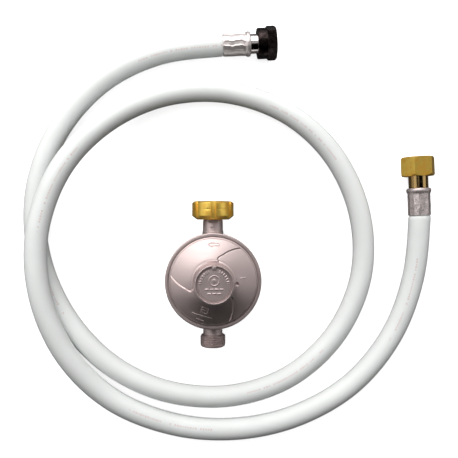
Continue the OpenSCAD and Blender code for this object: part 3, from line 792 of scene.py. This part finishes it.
def seal_ring(name, start, inner, outer):
    """Flat sealing ring with softened edges."""
    corners = [(start, inner), (start, outer), (start + SEAL, outer), (start + SEAL, inner)]
    return turned(name, eased(corners, 0.2))


class AddSeals(Operator):
    """Make the sealing rings in the three swivel nuts"""

    bl_idname = "gas_hose.add_seals"
    bl_label = "Seals"

    def execute(self, context):
        sizes = context.scene.fitting_sizes
        depth = (sizes.ferrule + sizes.wall) / MM + FLANGE + 0.12
        steel = seal_ring("steel_seal", depth + sizes.steel_neck / MM, 4, 8.9)
        settle(steel, fitting_axes("steel"),
               "hose_line", "seal_rubber", "seal_rubber", "steel_nut_gasket")
        brass = seal_ring("brass_seal", depth + sizes.brass_neck / MM, 4, 9)
        settle(brass, fitting_axes("brass"),
               "hose_line", "seal_rubber", "seal_rubber", "brass_nut_gasket")
        inlet = seal_ring("inlet_seal", node_span("inlet_gasket", 1)[0], 4.6, 9.3)
        settle(inlet, PIPE_AXES, "regulator", "seal_rubber", "seal_rubber", "inlet_gasket")
        return {"FINISHED"}


def hexagon(flats):
    """Outline of a hexagon with rounded corners and a flat facing up."""
    reach, cut = flats / math.sqrt(3), 0.45 / math.tan(math.radians(60))
    turns = [math.radians(60 * k) for k in range(6)]
    corners = [Vector((reach * math.cos(a), reach * math.sin(a))) for a in turns]
    out = []
    for i, here in enumerate(corners):
        back = (corners[i - 1] - here).normalized()
        ahead = (corners[(i + 1) % 6] - here).normalized()
        out += bend(here + back * cut, here, here + ahead * cut, 4)
    return out


def hex_block(name, x0, x1, rear_cut, front_cut):
    """Hexagonal block whose ends are turned back at the corners."""
    block = prism(x0, x1, hexagon(NUT_FLATS))
    block.name = name
    reach = NUT_FLATS / math.sqrt(3)
    slope, past = 1.05, 0.6
    ends = turned("chamfer_tool", [
        (x0 - 0.01, 0), (x0 - 0.01, reach - rear_cut), (x0 + (rear_cut + past) / slope, reach + past),
        (x1 - (front_cut + past) / slope, reach + past), (x1 + 0.01, reach - front_cut), (x1 + 0.01, 0)], 180)
    return carve(block, ends, "INTERSECT")


def tap_nut(nut, x0, x1, hole, minor, major, pitch, wall, hand=1):
    """Bores a swivel nut: a hole for the neck, room for flange and seal, a thread and its lead-in."""
    room = x0 + wall + FLANGE + SEAL + 1.4
    wide, narrow = minor + 0.75, minor - 0.02
    bore = turned("bore_tool", [
        (x0 - 1, 0), (x0 - 1, hole), (x0 + wall, hole), (x0 + wall, wide),
        (room, wide), (room, narrow), (x1 + 1, narrow), (x1 + 1, 0)], 96)
    carve(nut, bore)
    carve(nut, threaded_rod(room - 0.6, x1 + 0.7, minor, major, pitch, hand))
    mouth = turned("mouth_tool", [
        (x1 - 0.9, 0), (x1 - 0.9, narrow), (x1 + 0.2, major + 0.25), (x1 + 0.2, 0)], 96)
    return carve(nut, mouth)


class AddSwivelNuts(Operator):
    """Make the hose's two swivel nuts, with real threads"""

    bl_idname = "gas_hose.add_swivel_nuts"
    bl_label = "Swivel nuts"

    def execute(self, context):
        sizes = context.scene.fitting_sizes
        wall, edge, collar_r = sizes.wall / MM, 0.16, 12.15
        x0 = (sizes.ferrule + sizes.steel_neck) / MM
        x1 = x0 + sizes.collar / MM
        x2 = x1 + sizes.steel_hex / MM
        black = hex_block("black_nut", x1 - 0.2, x2, 0.9, 1.5)
        collar = turned("collar_tool", eased([
            (x0, 0, 0), (x0, collar_r, 0.9), (x1, collar_r, 0.15),
            (x1, 11, 0), (x1 + 0.6, 11, 0), (x1 + 0.6, 0, 0)]))
        carve(black, collar, "UNION")
        soften_edges(black, edge)
        tap_nut(black, x0, x2, 7.9, 9.19, 10.12, FINE_PITCH, wall)
        settle(black, fitting_axes("steel"),
               "steel_swivel", "black_oxide", "black_steel", "steel_nut")
        x0 = (sizes.ferrule + sizes.brass_neck) / MM
        x1 = x0 + sizes.brass_hex / MM
        yellow = hex_block("yellow_nut", x0, x1, 1.75, 1.75)
        soften_edges(yellow, edge)
        tap_nut(yellow, x0, x1, 8.1, 9.3, 10.45, GAS_PITCH, wall)
        settle(yellow, fitting_axes("brass"),
               "brass_swivel", "forged_brass", "forged_brass", "brass_nut")
        return {"FINISHED"}


# ---------- regulator ----------


def on_pipe(piece):
    """Turns a solid made about the pipes' axis into the tower's axes."""
    piece.data.transform(PIPE_IN_TOWER)
    return piece


class AddRegulatorBody(Operator):
    """Make the casting's bowl with its foot, rolled rim, inlet neck and threaded outlet"""

    bl_idname = "gas_hose.add_regulator_body"
    bl_label = "Regulator body"

    def execute(self, context):
        sizes = context.scene.regulator_sizes
        foot = sizes.foot / MM / 2
        seat_z, seat_r, lip = RIM_Z - 4.5, 31, 1
        lip_r, seat_wide = RIM_R - RIM_WIDTH, COVER_R + 0.1
        body = turned("body_casting", eased([
            (0, 0), (0, 8, 0.2), (0.8, 8.8, 0.3), (0.8, foot - 6, 0.3), (0, foot - 5.2, 0.2), (0, foot, 0.8),
            (1.6, foot + 3, 1.5), (14, RIM_R - 5.4, 6), (20, RIM_R - 3.6, 4), (24, RIM_R - 0.8, 1),
            (25, RIM_R, 0.6), (RIM_Z, RIM_R, 0.8), (RIM_Z, lip_r, 0.25), (RIM_Z - lip, lip_r, 0.1),
            (RIM_Z - lip, seat_wide, 0), (seat_z, seat_wide, 0.1), (seat_z, seat_r, 0.3),
            (16.5, RIM_R - 7.6, 4), (4.4, foot + 2, 1.5), (3.4, foot - 1, 1), (3.4, 0)], 0.3, 4), 192)
        boss, neck = 23, 7.9
        inlet = on_pipe(turned("inlet_tool", eased([
            (boss, 0), (boss, 5.5, 0.6), (28, 5.5, 0), (31, neck + 0.5, 0), (38.6, neck + 0.42, 0.3),
            (39, neck + 0.05, 0.3), (NECK_END, neck - 0.1, 0.5), (NECK_END, 0)], 0.3), 96))
        start = OUTLET_END - sizes.outlet_thread / MM
        outlet = on_pipe(turned("outlet_tool", eased([
            (-OUTLET_END, 0), (-OUTLET_END, 8.2, 0.8), (-OUTLET_END + 0.8, 9.5, 0.8),
            (-OUTLET_END + 1.9, 10, 0.8), (-start - 1, 10, 0),
            (-start, 9, 0.2), (-start + 0.2, 7.6, 0.4), (-36, 7.65, 1), (-31, 8.3, 0), (-31, 0)], 0.3), 96))
        thread = on_pipe(threaded_rod(-OUTLET_END - 1, -start - 0.2, 9.1, 10.05, FINE_PITCH))
        carve(thread, on_pipe(rod(-start - 0.35, -20, 12)), "UNION")
        carve(outlet, thread, "INTERSECT")
        for port in (inlet, outlet):
            carve(port, rod(21.3, 60, seat_r - 0.5, 128))
        for port in (inlet, outlet):
            carve(body, port, "UNION")
        for bore in ((33, NECK_END + 1, 6.05), (boss - 1, 33.1, 3.65), (-OUTLET_END - 1, -24, 5.5)):
            carve(body, on_pipe(rod(*bore)))
        carve(body, on_pipe(turned("mouth_tool", [
            (-OUTLET_END - 0.2, 0), (-OUTLET_END - 0.2, 6.6),
            (-OUTLET_END + 0.9, 5.49), (-OUTLET_END + 0.9, 0)], 96)))
        pad = prism(PIPE_Z + 7, PIPE_Z + neck + 0.25, [
            (1.6 * math.cos(math.radians(a)) - 1, 42.6 + 1.1 * math.sin(math.radians(a)))
            for a in range(0, 360, 15)])
        carve(body, soften_edges(pad, 0.15), "UNION")
        carve(body, prism(PIPE_Z + neck - 1, PIPE_Z + neck + 3, block(3.8, NECK_END - 2.4, NECK_END + 1)))
        for side in (-1, 1):
            carve(body, lever_ear(side), "UNION")
        settle(body, TOWER_AXES, "regulator", "cast_zinc", "cast_zinc", "regulator_body", crease=28)
        return {"FINISHED"}


def lever_ear(side):
    """One of the two ears that carry the lever's pin, in the tower's axes."""
    low, high = sorted((side * 4.3, side * 6.3))
    outline = [(3, PIVOT_Y - 3), (PIVOT_Z, PIVOT_Y - 3)]
    turns = [math.radians(15 * k) for k in range(1, 12)]
    outline += [(PIVOT_Z + 3 * math.sin(a), PIVOT_Y - 3 * math.cos(a)) for a in turns]
    outline += [(PIVOT_Z, PIVOT_Y + 3), (3, PIVOT_Y + 3)]
    ear = prism(low, high, outline)
    ear.data.transform(Matrix(((0, 1, 0, 0), (1, 0, 0, 0), (0, 0, 1, 0), (0, 0, 0, 1))))
    ear.data.flip_normals()
    drill = rod(-8, 8, 1.52, 48)
    drill.data.transform(TOWER_AXES.inverted() @ frame_matrix((0, PIVOT_Y * MM, PIVOT_Z * MM), (1, 0, 0)))
    return carve(ear, drill)


def smooth(value, low, high):
    """Eases from 0 to 1 as value goes from low to high."""
    t = np.clip((value - low) / (high - low), 0, 1)
    return t * t * (3 - 2 * t)


def from_line(x, y, ends):
    """Distance of points from a chain of straight lines."""
    best = np.full(np.shape(x), 1e9)
    for (ax, ay), (bx, by) in zip(ends, ends[1:]):
        dx, dy = bx - ax, by - ay
        t = np.clip(((x - ax) * dx + (y - ay) * dy) / (dx * dx + dy * dy), 0, 1)
        best = np.minimum(best, np.hypot(x - ax - t * dx, y - ay - t * dy))
    return best


def raised_line(x, y, ends, width, height):
    """A raised line with sloping sides."""
    return height * (1 - smooth(from_line(x, y, ends), width * 0.35, width * 0.9))


def boxed(cx, cy, w, h, tilt=0):
    """A closed rectangle's corners."""
    c, s = math.cos(math.radians(tilt)), math.sin(math.radians(tilt))
    corners = [(-w / 2, -h / 2), (w / 2, -h / 2), (w / 2, h / 2), (-w / 2, h / 2), (-w / 2, -h / 2)]
    return [(cx + c * a - s * b, cy + s * a + c * b) for a, b in corners]


def dashes(x, y, first, last, count):
    """A row of short raised dashes between two points."""
    total = np.zeros_like(x)
    for k in range(count):
        share = (k + 0.1) / count, (k + 0.65) / count
        a, b = (np.array(first) * (1 - t) + np.array(last) * t for t in share)
        total += raised_line(x, y, [a, b], 0.5, 0.3)
    return total


def cover_relief(x, y, crease):
    """Height added to the dome: three swept creases, a flow arrow, a dash, a blank outline and dashes."""
    r = np.hypot(x, y)
    angle = np.degrees(np.arctan2(y, x))
    swept = 52 + 1.84 * (33 - r) + np.where(r < 22, 0.3 * (22 - r) * (r - 16), 0)
    edge = np.minimum(swept, 80.8 - 0.9 * np.maximum(0, 18.9 - r) ** 1.5)
    height = np.zeros_like(r)
    for k in range(3):
        ahead = (angle - edge - 120 * k + 540) % 360 - 180
        gap = ahead * np.pi / 180 * r
        step = smooth(gap, -0.6, 0.6) * (1 - smooth(ahead, 8, 70))
        groove = 0.15 * np.exp(-((gap + 0.8) / 0.4) ** 2)
        height += crease * (step - groove)
    height *= smooth(r, 15.6, 16.6) * (1 - smooth(r, 32.8, 33.8))
    tip, neck, tail = -4.2, -1.0, 4.1
    head, shaft = 1.75, 0.95
    arrow = [(tip, 0), (neck, head), (neck, shaft), (tail, shaft),
             (tail, -shaft), (neck, -shaft), (neck, -head), (tip, 0)]
    height += raised_line(x, y - 29.0, arrow, 0.42, 0.3)
    height += raised_line(x, y, [(20.6, 3.0), (24.4, 3.2)], 0.45, 0.35)
    height += raised_line(x, y, boxed(-6.9, -21.7, 4.8, 4.0, -20), 0.5, 0.32)
    height += dashes(x, y, (-8.4, -21.0), (-5.2, -22.3), 2)
    height += dashes(x, y, (-16.2, -23.6), (-1.0, -28.2), 9)
    height += dashes(x, y, (-13.2, -28.2), (-7.4, -30.4), 4)
    return height


def dome_rise(t):
    """Rise of the dome, from 0 at its edge to 1 at the tower's foot: nearly a cone."""
    return 0.75 * t + 0.25 * math.sin(math.pi / 2 * t)


class AddCover(Operator):
    """Make the domed cover with its creases, markings, vent and spring tower"""

    bl_idname = "gas_hose.add_cover"
    bl_label = "Cover"

    def execute(self, context):
        sizes = context.scene.regulator_sizes
        lip, seat, steps = RIM_Z - 1.05, COVER_SEAT, 576
        dome_r, edge_z, top_z = RIM_R - 3.2, RIM_Z + 0.8, RIM_Z + 7
        tower = sizes.tower / MM / 2
        bore, ledge = tower - 1.6, tower - 1.1
        cap_z = TOWER_Z - 2.9
        outer = eased([
            (seat, 32, 0), (seat, COVER_R, 0.1), (lip, COVER_R, 0.1), (lip, dome_r, 0.1),
            (edge_z - 0.2, dome_r, 0.3), (edge_z + 0.25, dome_r - 0.9, 0.2)], 0.3)
        rise, reach = top_z - edge_z - 0.3, dome_r - 0.9 - tower - 3
        shares = [k / 80 for k in range(1, 81)]
        dome = [(edge_z + 0.3 + rise * dome_rise(t), dome_r - 0.9 - reach * t) for t in shares]
        dome += [(top_z + 0.9 * (k / 12) ** 2, tower + 3 - 1.9 * k / 12) for k in range(1, 13)]
        shaft = eased([
            (top_z + 0.9, tower + 1.1, 0), (top_z + 1.4, tower + 0.85, 0.5), (top_z + 4, tower + 0.7, 2),
            (TOWER_Z - 0.1, tower, 0.35), (TOWER_Z, ledge, 0.3), (cap_z, ledge, 0.1), (cap_z, bore, 0.1),
            (top_z - 1, bore, 0.5), (top_z - 1.9, bore + 1.2, 0.5)], 0.3)[1:]
        inside = [(edge_z - 1.2 + (rise + 0.3 - 0.8) * dome_rise(1 - k / 16),
                   (tower + 3) * (1 - k / 16) + (dome_r - 2.6) * k / 16) for k in range(1, 17)]
        outline = outer[1:] + dome + shaft + inside + [outer[0]]
        cover = turned("cover_casting", outline, steps)
        mesh = cover.data
        co = points_of(mesh)
        first = (len(outer) - 1) * steps
        on_dome = slice(first, first + len(dome) * steps)
        x, y = co[on_dome, 1].astype(float), co[on_dome, 2].astype(float)
        co[on_dome, 0] += cover_relief(x, y, sizes.crease / MM)
        mesh.vertices.foreach_set("co", co.ravel())
        mesh.update()
        vent = turned("vent_tool", [
            (RIM_Z - 2, 0), (RIM_Z - 2, 0.5), (top_z - 1.1, 0.5), (top_z - 0.75, 1.35),
            (top_z + 0.2, 1.9), (RIM_Z + 12, 1.9), (RIM_Z + 12, 0)], 48)
        vent.data.transform(Matrix.Translation((0, 18, -1.5)))
        carve(cover, vent)
        half = sizes.notch / MM / 2
        carve(cover, prism(cap_z, TOWER_Z + 2, block(half, ledge - 0.6, ledge + 4)))
        settle(cover, TOWER_AXES, "regulator", "cast_zinc", "cast_zinc", "regulator_cover", crease=40)
        return {"FINISHED"}


def cap_relief(x, y):
    """Plain raised marks on the tower's cap: a ring round a stud, dashes, and ticks round the edge."""
    r = np.hypot(x, y)
    angle = np.degrees(np.arctan2(y, x))
    from_stud = np.hypot(x, y - 3.0)
    height = 0.28 * (1 - smooth(np.abs(from_stud - 3.7), 0.25, 0.55))
    height += 0.24 * (1 - smooth(from_stud, 1.1, 1.5))
    for cy, count in ((-3.4, 4), (-6.6, 3)):
        for k in range(count):
            cx = 3.6 * (k - (count - 1) / 2)
            height += raised_line(x, y, [(cx - 0.9, cy), (cx + 0.9, cy)], 0.8, 0.24)
    tick = np.abs((angle + 4) % 11 - 5.5) * np.pi / 180 * r
    band = smooth(r, 9.3, 9.6) * (1 - smooth(r, 11.2, 11.5))
    side = smooth(angle, 2, 6) * (1 - smooth(angle, 66, 70))
    side += smooth(angle, 110, 114) * (1 - smooth(angle, 174, 178))
    return height + 0.24 * (1 - smooth(tick, 0.35, 0.65)) * band * side


class AddTowerCap(Operator):
    """Make the pressed cap in the tower's mouth, with its tab"""

    bl_idname = "gas_hose.add_tower_cap"
    bl_label = "Tower cap"

    def execute(self, context):
        sizes = context.scene.regulator_sizes
        low, _ = node_span("tower_cap", 2)
        top = low + 1.5
        radius = sizes.tower / MM / 2 - 1.2
        steps = 360
        radii = [radius - 0.25, radius - 0.7, radius - 0.9, radius - 1.3, radius - 1.5]
        radii += [radius - 1.5 - 0.18 * k for k in range(1, int((radius - 1.7) / 0.18) + 1)]
        rings = [[(low, 0, 0)], circle(low, radius, steps), circle(top - 0.2, radius, steps)]
        turns = np.arange(steps) * 2 * math.pi / steps
        for r in radii:
            y, z = r * np.cos(turns), r * np.sin(turns)
            dip = -0.35 if radius - 1.35 < r < radius - 0.85 else 0.0
            x = top + dip + (cap_relief(y, z) if r < radius - 1.4 else np.zeros(steps))
            rings.append(list(zip(x.tolist(), y.tolist(), z.tolist())))
        rings.append([(top, 0, 0)])
        cap = rings_to_mesh("tower_lid", rings)
        half = sizes.notch / MM / 2 - 0.15
        tab = prism(low + 0.1, low + 2.2, block(half, radius - 2.5, radius + 0.9))
        carve(cap, soften_edges(tab, 0.2), "UNION")
        settle(cap, TOWER_AXES, "regulator", "cast_zinc", "cast_zinc", "tower_cap")
        return {"FINISHED"}


class AddInletNut(Operator):
    """Make the grooved inlet nut and the tail that it turns on"""

    bl_idname = "gas_hose.add_inlet_nut"
    bl_label = "Inlet nut"

    def execute(self, context):
        sizes = context.scene.regulator_sizes
        y0, y1 = INLET_NUT_Y
        radius, wall = 16.5, 2.8
        middle = y0 + 0.55 * (y1 - y0)
        nut = turned("grooved_nut", eased([
            (y0, 0), (y0, radius - 3.8, 0.3), (y0 + 2.9, radius, 0.5), (middle - 0.8, radius, 0.15),
            (middle, radius - 0.12, 0.2), (middle + 0.8, radius, 0.15), (y1 - 1.3, radius, 0.3),
            (y1, radius - 2, 0.3), (y1, 0)], 0.3), 252)
        half, floor = 2.0, radius - 1.9
        for k in range(sizes.grooves):
            slot = prism(y0 - 1, y1 + 1, [
                (-half + 0.5, floor), (half - 0.5, floor), (half - 0.1, floor + 0.4), (half + 0.15, floor + 4),
                (-half - 0.15, floor + 4), (-half + 0.1, floor + 0.4)])
            slot.data.transform(Matrix.Rotation(2 * math.pi * k / sizes.grooves, 4, "X"))
            carve(nut, slot)
        soften_edges(nut, 0.18, 30)
        tap_nut(nut, y0, y1, 7.85, 9.74, 10.9, GAS_PITCH, wall, hand=-1)
        settle(nut, PIPE_AXES, "inlet_swivel", "forged_brass", "forged_brass", "inlet_nut")
        low, high = INLET_TAIL_Y
        flange = high - FLANGE
        tail = turned("inlet_stub", eased([
            (low, 3.6), (low, 5.6), (low + 0.4, 6.0), (NECK_END + 0.05, 6.0, 0), (NECK_END + 0.05, 7.6),
            (flange, 7.6, 0.1), (flange, 9.4), (high, 9.4), (high, 4.2),
            (flange - 1, 4.2, 0), (flange - 1, 3.6, 0)],
            0.25))
        settle(tail, PIPE_AXES, "regulator", "turned_brass", "turned_brass", "inlet_tail")
        return {"FINISHED"}


class DressMechanism(Operator):
    """Give the pieces inside the regulator their finishes"""

    bl_idname = "gas_hose.dress_mechanism"
    bl_label = "Mechanism"

    def execute(self, context):
        made = finishes()
        dress = {
            "spring_adjuster": "moulded_plastic", "main_spring": "spring_wire", "lever_pin": "spring_wire",
            "valve_pad": "seal_rubber", "diaphragm_plate": "turned_plate", "diaphragm_washer": "turned_plate",
            "valve_lever": "turned_plate", "diaphragm_stem": "turned_brass", "stem_nut": "turned_brass",
            "nozzle": "turned_brass", "inlet_filter": "sintered_bronze",
        }
        for node, finish in dress.items():
            obj = frame["nodes"][node]
            obj.data.materials.clear()
            obj.data.materials.append(made[finish])

        # The web rises with the stack, the roll stays with the regulator, and the bead stays clamped.
        seat, web = COVER_SEAT, COVER_SEAT - WEB_DROP
        top, edge = node_span("diaphragm", 2)[1], COVER_R - 0.4
        disc = turned("diaphragm_web", [(web, 2.15), (web, 22.4), (web + 1, 22.4), (web + 1, 2.15)], 96)
        settle(disc, TOWER_AXES, "diaphragm_stack", "seal_rubber", "seal_rubber")
        roll = turned("diaphragm_roll", [
            (web, 22.5), (web - 1.4, 24.5), (web - 1.8, 27), (web - 0.6, 29), (seat - 0.4, 30), (seat, 30.4),
            (seat, 29.3), (web + 0.4, 28), (web - 0.8, 27), (web - 0.4, 25),
            (web + 1, 23.4), (web + 1, 22.5)], 96)
        settle(roll, TOWER_AXES, "regulator", "seal_rubber", "seal_rubber", "diaphragm", crease=50)
        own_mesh(roll)
        bead = turned("diaphragm_bead", [
            (seat + 0.1, 29.4), (seat + 0.1, edge), (top, edge), (top, 32.2), (seat + 0.6, 29.4)], 96)
        settle(bead, TOWER_AXES, "regulator", "seal_rubber", "seal_rubber", "diaphragm")

        coil = bpy.data.objects.new("loaded_spring", frame["nodes"]["main_spring"].data.copy())
        context.scene.collection.objects.link(coil)
        coil.data.shade_smooth()
        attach(coil, "regulator")
        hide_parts("main_spring")
        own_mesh(coil)
        return {"FINISHED"}


# ---------- stage ----------


def ground(name, depth, finish):
    """A square plane under the object, six metres wide."""
    obj = mesh_object(name, [(-3, -3, 0), (3, -3, 0), (3, 3, 0), (-3, 3, 0)], [[0, 1, 2, 3]])
    obj.location = (0, 0, -depth)
    obj.data.materials.append(finish.material)
    obj.visible_diffuse = False
    return obj


def softbox(name, place, width, height, radiance, tint=(1, 1, 1)):
    """A rectangular light that faces the origin."""
    data = bpy.data.lights.new(name, "AREA")
    data.shape = "RECTANGLE"
    data.size = width
    data.size_y = height
    data.energy = radiance * math.pi * width * height
    data.color = tint
    obj = bpy.data.objects.new(name, data)
    bpy.context.scene.collection.objects.link(obj)
    obj.location = place
    obj.rotation_mode = "QUATERNION"
    obj.rotation_quaternion = (-Vector(place)).to_track_quat("-Z", "Y")
    return obj


class SetStage(Operator):
    """Set the camera, the pale floor and the soft lights"""

    bl_idname = "gas_hose.set_stage"
    bl_label = "Stage"

    def execute(self, context):
        scene = context.scene
        scene.view_settings.view_transform = "Standard"
        data = bpy.data.cameras.new("camera")
        data.sensor_width = 36
        data.lens = 49.83
        data.clip_start = 0.01
        data.clip_end = 20
        camera = bpy.data.objects.new("camera", data)
        scene.collection.objects.link(camera)
        camera.location = (-0.013, 0.0495, 0.52)
        camera.rotation_mode = "QUATERNION"
        camera.rotation_quaternion = (
            Matrix.Rotation(-0.01804, 3, "X") @ Matrix.Rotation(-0.05121, 3, "Y")).to_quaternion()
        scene.camera = camera
        paint = Finish("floor_paint", scene.hose_finishes.floor, roughness=0.9)
        paint.set("Emission Color", (1, 1, 1, 1))
        paint.set("Emission Strength", 0.75)
        floor = ground("floor", 0.0002, paint)
        floor.visible_glossy = False
        # The metal reflects a grey table in place of the pale floor.
        table = ground("table", 0.0004, Finish("table_paint", (0.2, 0.19, 0.187), roughness=0.9))
        table.visible_camera = False
        softbox("key", (-0.35, 0.85, 0.75), 1.2, 0.9, 4.4, (1, 0.99, 0.98))
        softbox("back", (0.6, 0.9, 0.65), 1.2, 0.8, 1.4)
        softbox("left", (-1.0, 0.0, 0.7), 1.0, 0.9, 0.9)
        softbox("right", (1.1, 0.1, 0.7), 1.0, 0.8, 0.85)
        softbox("top", (-0.45, 0.3, 1.5), 0.8, 1.0, 0.5)
        softbox("skyline", (0.0, 1.3, 0.24), 2.4, 0.45, 1.8)
        fill = softbox("fill", (0.0, 0.1, 1.5), 1.2, 1.2, 0.7)
        fill.visible_glossy = False
        world = bpy.data.worlds.new("studio")
        scene.world = world
        world.use_nodes = True
        sky = world.node_tree.nodes["Background"].inputs
        sky["Color"].default_value = (1, 1, 1, 1)
        sky["Strength"].default_value = 0.95
        world.cycles_visibility.diffuse = world.cycles_visibility.glossy = False
        return {"FINISHED"}


class HosePanel(Panel):
    bl_idname = "VIEW3D_PT_gas_hose"
    bl_label = "Gas hose"
    bl_space_type = "VIEW_3D"
    bl_region_type = "UI"
    bl_category = "Gas hose"

    def draw(self, context):
        for group in GROUPS:
            settings = getattr(context.scene, group)
            box = self.layout.box()
            for name in settings.__annotations__:
                box.prop(settings, name)
        for step in STEPS:
            self.layout.operator(step.bl_idname)


GROUPS = {
    "hose_sizes": HoseSizes,
    "fitting_sizes": FittingSizes,
    "regulator_sizes": RegulatorSizes,
    "hose_finishes": Finishes,
}
STEPS = (
    SetStage, AddFerrules, AddInserts, AddSwivelNuts, AddSeals, AddHose,
    AddRegulatorBody, AddCover, AddTowerCap, AddInletNut, DressMechanism,
)


def register():
    for group in GROUPS.values():
        bpy.utils.register_class(group)
    for name, group in GROUPS.items():
        setattr(bpy.types.Scene, name, PointerProperty(type=group))
    for step in STEPS:
        bpy.utils.register_class(step)
    bpy.utils.register_class(HosePanel)


def unregister():
    bpy.utils.unregister_class(HosePanel)
    for step in reversed(STEPS):
        bpy.utils.unregister_class(step)
    for name in GROUPS:
        delattr(bpy.types.Scene, name)
    for group in reversed(GROUPS.values()):
        bpy.utils.unregister_class(group)


def main():
    register()
    for step in STEPS:
        area, name = step.bl_idname.split(".")
        getattr(getattr(bpy.ops, area), name)()


if __name__ == "__main__":
    main()
